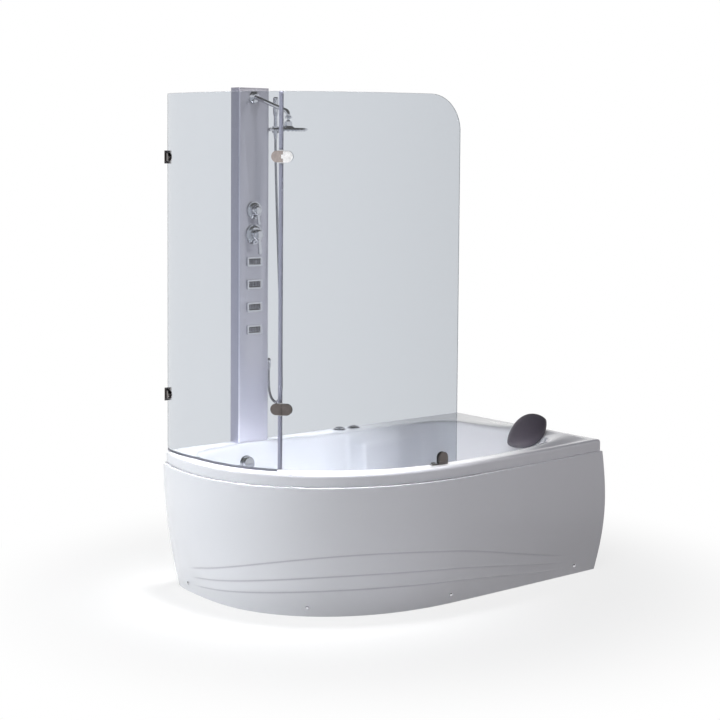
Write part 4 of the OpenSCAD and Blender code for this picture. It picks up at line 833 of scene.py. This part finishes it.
def resample(path, step):
    """The same curve with points at an even distance."""
    run = np.concatenate([[0], np.cumsum(np.linalg.norm(np.diff(path, axis=0), axis=1))])
    at = np.linspace(0, run[-1], max(2, int(round(run[-1] / step)) + 1))
    return np.stack([np.interp(at, run, path[:, k]) for k in range(path.shape[1])], -1)


COLUMN_X, COLUMN_HALF, COLUMN_FRONT, JET_PLATE = 0.451, 0.0775, 0.062, 0.0664
HOSE_X, HOSE_TOP, HOSE_END = 0.0995, 1.8987, 0.8947
RIB_PITCH, RIB_DEPTH, HOSE_STEP = 0.0044, 0.045, 0.0011
HOSE_ROUTE = [  # distance from the wall and height against the top
    (0.079, 0), (0.079, -0.012), (0.079, -0.03), (0.0805, -0.09), (0.085, -0.19), (0.091, -0.31),
    (0.099, -0.45), (0.107, -0.59), (0.115, -0.73), (0.122, -0.86), (0.127, -0.96), (0.13, -1.04),
    (0.131, -1.09), (0.1295, -1.122), (0.123, -1.149), (0.1125, -1.168), (0.098, -1.18),
    (0.082, -1.182), (0.0665, -1.176), (0.052, -1.163), (0.042, -1.143), (0.036, -1.118),
    (0.034, -1.084), (0.034, -1.052), (0.034, -1.04),
]


class BATH_OT_hose(bpy.types.Operator):
    """Shower hose: a ribbed metal tube whose radius follows a cosine along a hanging curve."""
    bl_idname = "bath.hose"
    bl_label = "Shower hose"

    def execute(self, context):
        s, f = sizes(), form()
        line = catmull(HOSE_ROUTE, 12)
        x = f.left + COLUMN_X + HOSE_X
        z = HOSE_TOP + line[:, 1] * (HOSE_TOP - HOSE_END) / -HOSE_ROUTE[-1][1]
        path = resample(np.stack([0 * z + x, f.wall - line[:, 0], z], -1), HOSE_STEP)
        length = float(np.linalg.norm(np.diff(path, axis=0), axis=1).sum())
        turns = np.linspace(0, 1, len(path)) * length / RIB_PITCH
        radius = s.hose_diameter / 2 * (1 - RIB_DEPTH + RIB_DEPTH * np.cos(2 * np.pi * turns))
        hose = tube(path, radius, 14, np.array([1.0, 0, 0]), "hose_tube")
        settle(hose, "bath", hose_metal(), "shower_hose")
        return {"FINISHED"}


AROUND, DOWN = 288, 44
EDGE_ROUND, MOUTH_ROUND = 0.014, 0.016


def shell_grid(f, s, around, down):
    """Upper skin of the shell: for each station the lip, a rounded edge, the deck with its hump, a rounded
    mouth (a quadratic Bezier curve), the wall and the floor."""
    i = np.linspace(0, f.stations, around, endpoint=False)[:, None]
    o, a = f.rim(i), f.aim(i)
    q = f.centre + f.radius(i)[..., None] * a
    e, w = unit(q - o), np.linalg.norm(q - o, axis=-1)
    edge, mouth = EDGE_ROUND, MOUTH_ROUND
    lip = s.rim_height - lerp(s.lip_height, edge, np.linspace(0, 1, 4))
    parts = [with_z(np.broadcast_to(o, (around, 4, 2)), lip)]
    k = np.linspace(0, np.pi / 2, 7)[1:-1]
    corner = o + e * (edge * (1 - np.cos(k)))[None, :, None]
    parts.append(with_z(corner, s.rim_height - edge + edge * np.sin(k)))
    across = lerp(edge / w, 1 - mouth / w, np.linspace(0, 1, 22)[None, :])
    deck = f.deck(np.broadcast_to(i, across.shape), across)
    parts.append(deck)
    bottom = f.bath(i, np.full((1, 1), mouth / s.bath_depth))
    top = deck[:, -1:]
    bend = with_z(q, f.deck(i, np.ones((1, 1)))[..., 2])
    u = np.linspace(0, 1, 8)[1:-1][None, :, None]
    parts.append((1 - u) ** 2 * top + 2 * u * (1 - u) * bend + u ** 2 * bottom)
    depth = 1 - (1 - np.linspace(0, 1, down)) ** 1.5
    depth = mouth / s.bath_depth + (1 - mouth / s.bath_depth) * depth
    parts.append(f.bath(np.broadcast_to(i, (around, down)), np.broadcast_to(depth, (around, down))))
    foot = parts[-1][:, -1:]
    middle = np.array([*f.centre, foot[0, 0, 2]])
    inner = np.linspace(0, 1, 7)[1:-1][None, :, None]
    parts.append(foot + (middle - foot) * inner)
    return np.concatenate(parts, 1), middle


def grid_normals(g, wrap):
    """Unit normals of a grid from the cross product of its two differences."""
    du = np.roll(g, -1, 0) - np.roll(g, 1, 0) if wrap else np.gradient(g, axis=0)
    return unit(np.cross(du, np.gradient(g, axis=1)) + 1e-12)


CUT = 0.02
CONTROLS, CONTROL_BACK, CONTROL_HOLE = (0.084, 0.167), 0.048, 0.017
DRAIN, DRAIN_HOLE = (-0.4, 0.03), 0.026
WALL_HOLES = (  # station, share of the depth and radius of the overflow, the suction and the four jets
    (70.2, 0.2, 0.015), (58.6, 0.64, 0.0303), (24, 0.58, 0.0233), (34, 0.58, 0.0233), (61.5, 0.58, 0.0233),
    (65, 0.58, 0.0233))


class BATH_OT_shell(bpy.types.Operator):
    """Moulded shell: a grid of stations round the bath and steps from the lip over the deck to the floor."""
    bl_idname = "bath.shell"
    bl_label = "Tub shell"

    def execute(self, context):
        s, f = sizes(), form()
        g, middle = shell_grid(f, s, AROUND, DOWN)
        rows, cols = g.shape[:2]
        under = g - grid_normals(g, True) * s.shell_wall
        under[:, 0] = g[:, 0] + with_z(unit(g[:, 12, :2] - g[:, 0, :2]), 0) * s.shell_wall
        lowest = middle - [0, 0, s.shell_wall]
        points = np.concatenate([g.reshape(-1, 3), under.reshape(-1, 3), [middle, lowest]])
        n = rows * cols
        k = np.arange(rows) * cols
        k2 = np.roll(k, -1)
        end, end2 = k + cols - 1, k2 + cols - 1
        faces = [grid_faces(rows, cols, wrap_rows=True),
                 grid_faces(rows, cols, wrap_rows=True, start=n, flip=True),
                 np.stack([k, n + k, n + k2, k2], -1), np.stack([end, end2, 0 * end + 2 * n], -1),
                 np.stack([n + end2, n + end, 0 * end + 2 * n + 1], -1)]
        shell = outward(put_mesh("moulded_shell", points, faces))
        level = [((f.mid + x, f.wall - CONTROL_BACK, s.rim_height), CONTROL_HOLE) for x in CONTROLS]
        level.append(((f.mid + DRAIN[0], f.centre[1] + DRAIN[1], f.floor), DRAIN_HOLE))
        holes = [hole_cutter(p, (0, 0, 1), r, -CUT, CUT) for p, r in level]
        for i, drop, r in WALL_HOLES:
            holes.append(hole_cutter(f.bath(i, drop), f.normal(i, drop), r, -CUT, 0.7 * CUT))
        cut(shell, holes)
        settle(shell, "bath", acrylic(), "tub_shell")
        sharpen(shell)
        return {"FINISHED"}


def sharpen(piece, degrees=35):
    """Shades a finished mesh smooth but for its sharp edges."""
    work = bmesh.new()
    work.from_mesh(piece.data)
    for face in work.faces:
        face.smooth = True
    limit = np.radians(degrees)
    for e in work.edges:
        e.smooth = len(e.link_faces) == 2 and e.calc_face_angle(0) < limit
    work.to_mesh(piece.data)
    work.free()


APRON_LIFT, APRON_GAP, APRON_ROUND = 0.002, 0.0006, 0.004
TUCK, HEAD_TUCK, FOOT_TUCK, FOOT_SPREAD, TUCK_POWER, BELLY = 0.084, 0.06, 0.022, 0.06, 1.8, 0.03
SCREWS, SCREW_Z, SCREW_HOLE = (0.05, 0.36, 0.63, 0.94), 0.042, 0.0025
WAVES = ((0.022, 0.098), (0.05, 0.131), (0.075, 0.192))
WAVE_MIDDLE, WAVE_SPAN, WAVE_STEP, WAVE_LAP, WAVE_LINE = 0.47, 0.59, 0.005, 0.004, 0.003


def apron_top(s):
    return s.rim_height - s.lip_height - APRON_GAP


def apron_offset(s, t, z):
    """Distance inside the rim's edge: proud at the top, with a sine belly towards the head end and a power
    tuck towards the floor."""
    w = np.clip((z - APRON_LIFT) / (apron_top(s) - APRON_LIFT), 0, 1)
    tuck = TUCK - HEAD_TUCK * t ** 3 - FOOT_TUCK * np.exp(-(t / FOOT_SPREAD) ** 2)
    out = s.apron_proud + BELLY * t * t * np.sin(np.pi * w)
    return APRON_GAP - out + (s.apron_proud + tuck) * (1 - w) ** TUCK_POWER


def wave_line(k, t):
    """Height of wave k: a squared cosine bulge over a base height."""
    low, rise = WAVES[k]
    away = np.minimum(1, np.abs(t - WAVE_MIDDLE) / WAVE_SPAN)
    return low + rise * np.cos(np.pi / 2 * away) ** 2


def wave_fade(t):
    return smooth((t - 0.06) / 0.06) * smooth((0.92 - t) / 0.08)


def wave_relief(s, t, z):
    """Lapped waves: the surface steps out over each line and eases back to the next."""
    out = 0 * z
    for k in range(len(WAVES)):
        line = wave_line(k, t)
        last = k + 1 == len(WAVES)
        top = lerp(line, apron_top(s), 0.3) if last else wave_line(k + 1, t) - WAVE_LAP
        rise = smooth((z - line + WAVE_STEP) / (2 * WAVE_STEP))
        fall = smooth((z - line - WAVE_STEP) / (top - line - WAVE_STEP))
        out = np.maximum(out, rise * (1 - fall))
    return s.wave_relief * wave_fade(t) * out


class BATH_OT_apron(bpy.types.Operator):
    """Curved apron: places along the rim by heights, with a belly, a tuck at the floor and lapped waves."""
    bl_idname = "bath.apron"
    bl_label = "Apron"

    def execute(self, context):
        s, f = sizes(), form()
        t = np.linspace(0, 1, 241)[:, None]
        top = apron_top(s)
        low = top - APRON_ROUND
        face = np.concatenate([np.linspace(APRON_LIFT, 0.3, 100), np.linspace(0.3, low, 40)[1:]]) + 0 * t
        k = np.linspace(0, np.pi / 2, 6)[1:][None, :]
        bend = apron_offset(s, t, np.full((1, 1), low)) + APRON_ROUND * (1 - np.cos(k))
        ledge = bend[:, -1:] + (s.apron_proud + 0.02) * np.linspace(0, 1, 5)[None, 1:]
        z = np.concatenate([face, low + APRON_ROUND * np.sin(k) + 0 * t, top + 0 * ledge], 1)
        d = np.concatenate([apron_offset(s, t, face) - wave_relief(s, t, face), bend, ledge], 1)
        g = with_z(f.edge(t) + d[..., None] * f.inward(t), z)
        back = g - grid_normals(g, False) * s.apron_wall
        back[:, 0] = g[:, 0] + with_z(f.inward(t[:, 0]), 0) * s.apron_wall
        apron = slab("curved_apron", g, back)
        cut(apron, [hole_cutter(*screw_place(s, f, u), SCREW_HOLE, -CUT, CUT) for u in SCREWS])
        settle(apron, "bath", apron_acrylic(), "apron")
        sharpen(apron)
        mark_waves(apron, f)
        return {"FINISHED"}


def mark_waves(piece, f):
    """Marks the wave lines for their painted shade in a mesh attribute: a bell curve of the height over the
    nearest line.
    """
    mesh = piece.data
    p = np.zeros(len(mesh.vertices) * 3)
    mesh.vertices.foreach_get("co", p)
    p = p.reshape(-1, 3)
    t = np.linspace(0, 1, 601)
    at = t[np.argmin(((p[:, None, :2] - f.edge(t)) ** 2).sum(-1), 1)]
    away = np.min([np.abs(p[:, 2] - wave_line(k, at) + 0.001) for k in range(len(WAVES))], axis=0)
    share = np.exp(-(away / WAVE_LINE) ** 2) * wave_fade(at)
    groove = mesh.attributes.new("groove", "FLOAT", "POINT")
    groove.data.foreach_set("value", share.astype(np.float32))


def screw_place(s, f, u):
    """Where a screw goes through the apron, and the way out."""
    at = np.array([u, u, u + 0.002, u - 0.002, u])
    z = SCREW_Z + np.array([-0.01, 0.01, 0, 0, 0])
    inward = f.inward(at)
    p = with_z(f.edge(at) + apron_offset(s, at, z)[:, None] * inward, z)
    n = unit(np.cross(p[1] - p[0], p[2] - p[3]))
    return p[4], n if n[:2] @ inward[4] < 0 else -n


# Glass

JOINT_T, DOOR_T, TRACK_GAP = 0.3113, 0.631, 0.003
HINGES = (0.238, -0.253)
WALL_INSET, WALL_EASE, WALL_GAP, GLASS_LIFT = 0.008, 0.13, 0.006, 0.009
PANE_COLUMNS, PANE_ROWS, ARRIS = 140, 60, 0.0008
NOTCH, NOTCH_HALF = 0.024, 0.015


def track_step(f, t):
    """Length of rim for one unit of t."""
    return float(np.linalg.norm(f.edge(np.array(t + 0.01)) - f.edge(np.array(t - 0.01))) / 0.02)


def glass_line(f, s, t):
    """The screen's curve in plan: inside the rim's edge, and easing out to it at the wall."""
    return f.track(t, lerp(WALL_INSET, s.glass_inset, smooth(t / WALL_EASE)))


def glass_heights(s):
    return s.rim_height + GLASS_LIFT, s.rim_height + s.screen_height


def curved_pane(name, f, s, low_t, high_t, corner):
    """Curved pane: the rim's curve, moved in, times height, with a quarter circle taken off one top corner
    and a small bevel round its edge."""
    bottom, top = glass_heights(s)
    half = s.glass_wall / 2
    ease = ARRIS / track_step(f, 0.5 * (low_t + high_t))
    w = np.linspace(0, 1, PANE_COLUMNS)
    inner = lerp(low_t + ease, high_t - ease, 1 - (1 - w) ** 2.2 if corner else w)
    t = np.concatenate([[low_t], inner, [high_t]])
    p = glass_line(f, s, t)
    side = unit(glass_line(f, s, np.minimum(t + 0.001, 1)) - glass_line(f, s, np.maximum(t - 0.001, 0)))
    normal = np.stack([side[:, 1], -side[:, 0]], -1)
    crown = np.full(t.shape, top)
    if corner:
        x = np.clip(p[:, 0] - (p[-1, 0] - corner), 0, corner)
        crown = top - corner + np.sqrt(np.maximum(0, corner ** 2 - x ** 2))
        crown[-1] = crown[-2] = np.minimum(crown[-2], crown[-3])
    low, high = (0 * t + bottom)[:, None], crown[:, None]
    inner = lerp(low + ARRIS, high - ARRIS, np.linspace(0, 1, PANE_ROWS)[None, :])
    z = np.concatenate([low, inner, high], 1)
    thick = np.full(z.shape, half - ARRIS)
    thick[1:-1, 1:-1] = half
    out = thick[..., None] * normal[:, None]
    return slab(name, with_z(p[:, None] + out, z), with_z(p[:, None] - out, z))


def grind_edges(piece, f, s):
    """Gives the ground-edge finish to the faces that lean away from the pane's own curve."""
    mesh = piece.data
    centre, normal = np.zeros(len(mesh.polygons) * 3), np.zeros(len(mesh.polygons) * 3)
    mesh.polygons.foreach_get("center", centre)
    mesh.polygons.foreach_get("normal", normal)
    t = np.linspace(0, 0.7, 701)
    line = glass_line(f, s, t)
    side = unit(np.gradient(line, axis=0))
    near = np.argmin(((centre.reshape(-1, 1, 3)[..., :2] - line) ** 2).sum(-1), 1)
    square = np.abs(side[near, 0] * normal[1::3] - side[near, 1] * normal[::3])
    mesh.materials.append(glass_edge())
    mesh.polygons.foreach_set("material_index", (square < 0.9).astype(np.int32))


def joint_place(f, s):
    return f.track(np.array(JOINT_T), s.glass_inset), f.heading(JOINT_T, s.glass_inset)


def hinge_notches(f, s, side):
    """Cutters for the notches that hold the hinges' middles."""
    p, turn = joint_place(f, s)
    bottom, top = glass_heights(s)
    found = []
    for h in HINGES:
        z = (bottom if h > 0 else top) + h
        x = -0.001 if side > 0 else 0.001 - NOTCH
        low, high = (x, -CUT, -NOTCH_HALF), (x + NOTCH, CUT, NOTCH_HALF)
        found.append(block(low, high, turn, (*p, z), "notch"))
    return found


class BATH_OT_glass(bpy.types.Operator):
    """Two curved panes of clear glass, the fixed one at the wall and the door with its rounded corner."""
    bl_idname = "bath.glass"
    bl_label = "Glass screen"

    def execute(self, context):
        s, f = sizes(), form()
        step = track_step(f, JOINT_T)
        fixed = curved_pane("fixed_pane", f, s, WALL_GAP / step, JOINT_T - TRACK_GAP / step, 0)
        cut(fixed, hinge_notches(f, s, -1))
        settle(fixed, "bath", screen_glass(), "fixed_glass")
        door = curved_pane("door_pane", f, s, JOINT_T + TRACK_GAP / step, DOOR_T, s.door_corner)
        cut(door, hinge_notches(f, s, 1))
        settle(door, "door", screen_glass(), "door_glass")
        for pane in (fixed, door):
            sharpen(pane, 30)
            grind_edges(pane, f, s)
        return {"FINISHED"}


def strip_solid(name, outline, line, heading, z):
    """Prism of a ribbon-like profile: near and far points across a plan curve, repeated at heights z."""
    c, s = np.cos(heading), np.sin(heading)
    plans = [q @ np.array([[c, s], [-s, c]]) + line for q in outline]
    return slab(name, *[with_z(np.broadcast_to(q, (len(z), *q.shape)), z[:, None]) for q in plans])


LIP_RUN, LIP_HALF, LIP_AWAY, HINGE_HALF = (-0.0132, -0.0018), 0.00085, 0.00455, 0.026
BULB_MIDDLE, BULB_DEPTH, CORE_HALF, STRIP_SHORT = -0.0016, 0.0027, 0.0032, 0.016


class BATH_OT_seals(bpy.types.Operator):
    """Seals of the screen: a two-lipped profile with a round bulb at the joint, a strip under the pane."""
    bl_idname = "bath.seals"
    bl_label = "Seals"

    def execute(self, context):
        s, f = sizes(), form()
        p, turn = joint_place(f, s)
        bottom, top = glass_heights(s)
        a = np.linspace(-np.pi / 2, np.pi / 2, 25)
        bulb = np.stack([BULB_MIDDLE + BULB_DEPTH * np.cos(a), LIP_AWAY * np.sin(a)], -1)
        lip = np.linspace(*LIP_RUN, 9)
        line = np.concatenate([np.stack([lip, 0 * lip - LIP_AWAY], -1), bulb,
                               np.stack([lip[::-1], 0 * lip + LIP_AWAY], -1)])
        across = unit(np.gradient(line, axis=0))
        k = np.arange(len(line))
        half = LIP_HALF * np.minimum(1, 0.35 + np.minimum(k, k[::-1]) / 2)[:, None]
        side = np.stack([-across[:, 1], across[:, 0]], -1) * half
        core = [np.array([[x, -CORE_HALF], [x, CORE_HALF]]) for x in (-0.0026, -0.0008)]
        middles = [(bottom if h > 0 else top) + h for h in HINGES]
        marks = [bottom] + [z + d for z in middles for d in (-HINGE_HALF, HINGE_HALF)] + [top]
        lips, cores = [], []
        for low, high in zip(marks[::2], marks[1::2]):
            z = np.linspace(low, high, 24)
            lips.append(strip_solid("lip", (line + side, line - side), p, turn, z))
            cores.append(strip_solid("core", core, p, turn, z[[0, -1]]))
        settle(joined(lips, "joint_seal"), "bath", clear_seal(), "screen_seals")
        step = track_step(f, JOINT_T)
        t = np.linspace(WALL_GAP / step, JOINT_T - STRIP_SHORT / step, 90)
        half = s.glass_wall / 2
        wall = rounded([(s.rim_height + 0.0003, half - 0.0006), (s.rim_height + 0.004, half),
                        (bottom - 0.0007, half - 0.0004)], 0.001)
        plan, out = glass_line(f, s, t)[:, None], wall[:, 1][:, None] * f.inward(t)[:, None]
        foot = slab("foot_strip", with_z(plan + out, wall[:, 0]), with_z(plan - out, wall[:, 0]))
        settle(joined(cores + [foot], "seal_core"), "bath", dark_seal())
        return {"FINISHED"}


ARM_Z, ARM_FALL, ARM_BEND, ARM_REACH, ARM_RADIUS = 1.485, 15, 0.024, 0.221, 0.009
ARM_FLANGE = [(-0.0003, 0.01), (-0.0003, 0.027), (0.0022, 0.027), (0.006, 0.0225), (0.0105, 0.0125),
              (0.011, 0.0085)]
ARM_COLLAR = [(0, 0.0088), (0, 0.0125), (-0.0025, 0.013), (-0.003, 0.0108), (-0.012, 0.0108), (-0.012, 0.006)]
ARM_NUT = [(-0.0035, 0.0112), (-0.0035, 0.0138), (-0.0043, 0.0149), (-0.0108, 0.0149), (-0.0116, 0.0138),
           (-0.0116, 0.006)]
BALL_RADIUS, BALL_NECK = 0.011, [(0.015, 0.006), (0.0105, 0.006)]


class BATH_OT_arm(bpy.types.Operator):
    """Overhead arm: a tube along a straight fall, a circular bend and a drop, with flange, nut and ball."""
    bl_idname = "bath.arm"
    bl_label = "Shower arm"

    def execute(self, context):
        s, f = sizes(), form()
        x, front = f.left + COLUMN_X, f.wall - COLUMN_FRONT
        z = s.rim_height + ARM_Z
        slope = np.radians(ARM_FALL)
        start = front - 0.008
        centre = np.array([start - ARM_REACH + ARM_BEND * np.sin(slope),
                           z - ARM_REACH * np.tan(slope) - ARM_BEND * np.cos(slope)])
        a = np.linspace(np.pi / 2 + slope, np.pi, 16)
        arc = centre + ARM_BEND * np.stack([np.cos(a), np.sin(a)], -1)
        first = [start - 0.02, z - 0.02 * np.tan(slope)]
        line = np.concatenate([[[front + 0.006, z], [start + 0.002, z], [start - 0.004, z - 0.0011]],
                               np.linspace(first, arc[0], 12, endpoint=False), arc,
                               [arc[-1] - [0, 0.004]]])
        arm = tube(with_x(line, x), ARM_RADIUS, 32, np.array([1.0, 0, 0]), "arm_tube")
        flange = spun(rounded(ARM_FLANGE, 0.0016), (x, front, z), (0, -1, 0), "arm_flange")
        y, nut = arc[-1]
        place, up = (x, y, nut + 0.002), (0, 0, 1)
        collar = spun(rounded(ARM_COLLAR, 0.0008), place, up, "arm_collar")
        hexagon = spun(rounded(ARM_NUT, 0.0003), place, up, "arm_nut", 6, False)
        v = np.linspace(0.08, np.radians(137), 30)[6:]
        profile = np.concatenate([BALL_NECK, BALL_RADIUS * np.stack([np.cos(v), np.sin(v)], -1)])
        ball = spun(profile, (x, y, nut - 0.026), up, "arm_ball")
        sharpen(settle(joined([arm, flange, collar, ball], "arm_bend"), "bath", chrome(), "shower_arm"))
        settle(hexagon, "bath", chrome())
        return {"FINISHED"}


PILLOW_TURNS = ((9, "Z"), (-51, "Y"), (-42, "Z"))
PILLOW_AT = (0.6423, -0.1898, 0.0189)
TIP_POWER, CROWN_POWER, TAPER, FRONT_SHARE = 0.72, 0.42, 0.16, 0.68
SEAM_AT, SEAM_WIDTH, SEAM_DEPTH, DISH_DEPTH, DISH_SIZE = 0.965, 0.012, 0.05, 0.06, 0.5


class BATH_OT_pillow(bpy.types.Operator):
    """Headrest pillow: a leaf whose half width is a power of one minus u squared and whose crown is a power
    of the product of one minus u squared and one minus v squared."""
    bl_idname = "bath.pillow"
    bl_label = "Headrest pillow"

    def execute(self, context):
        s, f = sizes(), form()
        n, m = 120, 72
        a, b = np.meshgrid(np.linspace(0, np.pi, n), np.linspace(0, np.pi, m + 1), indexing="ij")
        u, v = -np.cos(a), -np.cos(b)
        wide = s.pillow_width / 2 * np.maximum(0, 1 - u * u) ** TIP_POWER * (1 + TAPER * u)
        crown = s.pillow_thick * np.maximum(0, (1 - u * u) * (1 - v * v)) ** CROWN_POWER
        groove = 1 - SEAM_DEPTH * np.exp(-((np.abs(v) - SEAM_AT) / SEAM_WIDTH) ** 2)
        dish = 1 - DISH_DEPTH * np.exp(-(u / DISH_SIZE) ** 2 - (v / DISH_SIZE) ** 2)
        x, y = s.pillow_length / 2 * u, wide * v
        front = np.stack([x, y, FRONT_SHARE * crown * groove * dish], -1)
        back = np.stack([x, y, (FRONT_SHARE - 1) * crown], -1)
        k = n * (m + 1)
        faces = [grid_faces(n, m + 1), grid_faces(n, m + 1, start=k, flip=True)]
        points = np.concatenate([front.reshape(-1, 3), back.reshape(-1, 3)])
        turns = [Matrix.Rotation(np.radians(angle), 3, axis) for angle, axis in PILLOW_TURNS]
        turn = np.array(turns[0] @ turns[1] @ turns[2])
        at = np.array([*f.centre, s.rim_height]) + PILLOW_AT
        pillow = outward(put_mesh("pillow", points @ turn.T + at, faces))
        settle(pillow, "bath", pillow_skin(), "headrest_pillow")
        return {"FINISHED"}


BEVELS = {  # width of the bevels of the CAD pieces that show
    0.0004: ("body_jet_plate_1", "body_jet_plate_2", "body_jet_plate_3", "body_jet_plate_4"),
    0.0005: ("hose_nuts",),
    0.0006: ("push_button", "air_regulator_knob", "drain_plug", "column_caps"),
    0.0007: ("diverter_base", "mixer_base", "mixer_hub", "hinge_fixed_leaves", "hinge_door_leaves"),
    0.0008: ("body_jet_frames", "wall_clamps", "door_clamp", "rim_catch", "hand_shower", "handset_holder",
             "shower_head", "overflow_bezel"),
    0.001: ("overflow_knob",),
    0.0012: ("column_body", "diverter_handle"),
    0.0014: ("mixer_lever",),
}
CAST = {name: width for width, names in BEVELS.items() for name in names}


class BATH_OT_fittings(bpy.types.Operator):
    """Finishes of the pieces that keep their shape: a node material each, small bevels and soft shading."""
    bl_idname = "bath.fittings"
    bl_label = "Fittings"

    def execute(self, context):
        for name, piece in frame["nodes"].items():
            piece.data.materials.clear()
            piece.data.materials.append(OWN_FINISH.get(name, FINISHES[slot_of(name)])())
            if piece.hide_render:
                continue
            weld = piece.modifiers.new("weld", "WELD")
            weld.merge_threshold = WELD
            if name in CAST:
                bevel = piece.modifiers.new("bevel", "BEVEL")
                bevel.width = CAST[name]
                bevel.segments = 2
                bevel.limit_method = "ANGLE"
                bevel.angle_limit = BEVEL_FROM
                bevel.use_clamp_overlap = True
            soft = piece.modifiers.new("soft", "NODES")
            soft.node_group = soft_edges()
        return {"FINISHED"}


# The stage

CAMERA = {"place": (-4.448, -5.3695, 1.8589), "yaw": 40.725, "pitch": 4.059, "roll": 0.5841,
          "lens": 82.222, "shift": (-0.0853, -0.13)}
LAMPS = {  # place, aim, size, power, colour and spread
    "key": ((-3.4, 1.4, 1.6), (-0.5, 0.0, 0.5), 1.8, 66, (0.92, 0.96, 1), 180),
    "left": ((-2.8, -2.6, 4.6), (-0.2, 0.0, 0.4), 2.2, 103, (0.92, 0.96, 1), 180),
    "front": ((0.5, -4.2, 5.2), (0.1, -0.3, 0.4), 2.2, 27, (1, 0.84, 1), 180),
    "top": ((-0.42, 0.1, 3.1), (-0.4, 0.12, 0.4), 0.6, 15, (1, 1, 1), 34),
}
FLOOR_HALF, FLOOR_FADE = 18.0, (0.9, 1.9)


def floor_paint():
    """Pale floor: lit near the bath, and plain white further out for the camera, gloss and glass."""
    f = Finish("pale_floor", (0.7, 0.7, 0.7), 0.7)
    away = f.node("ShaderNodeVectorMath", operation="LENGTH")
    f.link(f.place(), away.inputs[0])
    fade = f.spread(away.outputs["Value"], 0.8, 1.0, *FLOOR_FADE, "SMOOTHSTEP")
    f.show(f.combine("MULTIPLY", fade, f.seen()), f.node("ShaderNodeEmission"))
    return f.material


def surroundings():
    """White for the camera, gloss and glass, faint for other rays, and a dark ceiling for glossy rays."""
    world = bpy.data.worlds.new("surroundings")
    world.use_nodes = True
    w = Nodes(world.node_tree)
    ground = w.first("BACKGROUND")
    ground.inputs["Color"].default_value = (1, 1, 1, 1)
    level = w.spread(w.seen(), 0.03, 1.0, 0.0, 1.0)
    height = w.node("ShaderNodeSeparateXYZ")
    w.link(w.node("ShaderNodeTexCoord").outputs["Generated"], height.inputs[0])
    dark = w.spread(height.outputs["Z"], 0.0, 0.93, 0.3, 0.6, "SMOOTHSTEP")
    light = w.combine("SUBTRACT", 1.0, w.combine("MULTIPLY", dark, w.ray("Glossy")))
    w.link(w.combine("MULTIPLY", light, level), ground.inputs["Strength"])
    return world


class BATH_OT_stage(bpy.types.Operator):
    """Camera, pale floor, white surroundings and soft lamps."""
    bl_idname = "bath.stage"
    bl_label = "Stage"

    def execute(self, context):
        scene = context.scene
        lens = bpy.data.cameras.new("camera")
        camera = bpy.data.objects.new("camera", lens)
        scene.collection.objects.link(camera)
        yaw, pitch, roll = (np.radians(CAMERA[k]) for k in ("yaw", "pitch", "roll"))
        forward = Vector((np.sin(yaw) * np.cos(pitch), np.cos(yaw) * np.cos(pitch), -np.sin(pitch)))
        right = Vector((np.cos(yaw), -np.sin(yaw), 0))
        up = right.cross(forward)
        right, up = right * np.cos(roll) + up * np.sin(roll), up * np.cos(roll) - right * np.sin(roll)
        turn = Matrix((right, up, -forward)).transposed().to_4x4()
        camera.matrix_world = Matrix.Translation(CAMERA["place"]) @ turn
        lens.sensor_width = 36
        lens.lens = CAMERA["lens"]
        lens.shift_x, lens.shift_y = CAMERA["shift"]
        lens.clip_end = 100
        scene.camera = camera

        corners = FLOOR_HALF * np.array([[-1, -1, 0], [1, -1, 0], [1, 1, 0], [-1, 1, 0]])
        floor = put_mesh("floor", corners, np.array([[0, 1, 2, 3]]), False)
        floor.data.materials.append(floor_paint())
        scene.world = surroundings()

        for name, (place, aim, size, power, colour, spread) in LAMPS.items():
            data = bpy.data.lights.new(name, "AREA")
            data.shape = "SQUARE"
            data.size = size
            data.energy = power
            data.color = colour
            data.spread = np.radians(spread)
            lamp = bpy.data.objects.new(name, data)
            scene.collection.objects.link(lamp)
            lamp.location = place
            lamp.rotation_euler = (Vector(aim) - Vector(place)).to_track_quat("-Z", "Y").to_euler()
            lamp.visible_glossy = lamp.visible_transmission = False

        scene.view_settings.view_transform = "Standard"
        return {"FINISHED"}


class BATH_PT_panel(bpy.types.Panel):
    """Lists the pieces of the bath."""
    bl_idname = "BATH_PT_panel"
    bl_label = "Bath"
    bl_space_type = "VIEW_3D"
    bl_region_type = "UI"
    bl_category = "Bath"

    def draw(self, context):
        for operator in OPERATORS:
            self.layout.operator(operator.bl_idname)
        for name in BathSizes.__annotations__:
            self.layout.prop(context.scene.bath_sizes, name)
        for name in BathColours.__annotations__:
            self.layout.prop(context.scene.bath_colours, name)


OPERATORS = (BATH_OT_stage, BATH_OT_hose, BATH_OT_shell, BATH_OT_apron, BATH_OT_glass, BATH_OT_seals,
             BATH_OT_arm, BATH_OT_pillow, BATH_OT_fittings)
CLASSES = (BathSizes, BathColours, *OPERATORS, BATH_PT_panel)


def register():
    for c in CLASSES:
        bpy.utils.register_class(c)
    bpy.types.Scene.bath_sizes = PointerProperty(type=BathSizes)
    bpy.types.Scene.bath_colours = PointerProperty(type=BathColours)


def unregister():
    del bpy.types.Scene.bath_colours
    del bpy.types.Scene.bath_sizes
    for c in reversed(CLASSES):
        bpy.utils.unregister_class(c)


def main():
    """Registers the add-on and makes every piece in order."""
    register()
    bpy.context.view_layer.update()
    for operator in OPERATORS:
        area, name = operator.bl_idname.split(".")
        getattr(getattr(bpy.ops, area), name)()
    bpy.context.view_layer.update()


if __name__ == "__main__":
    main()
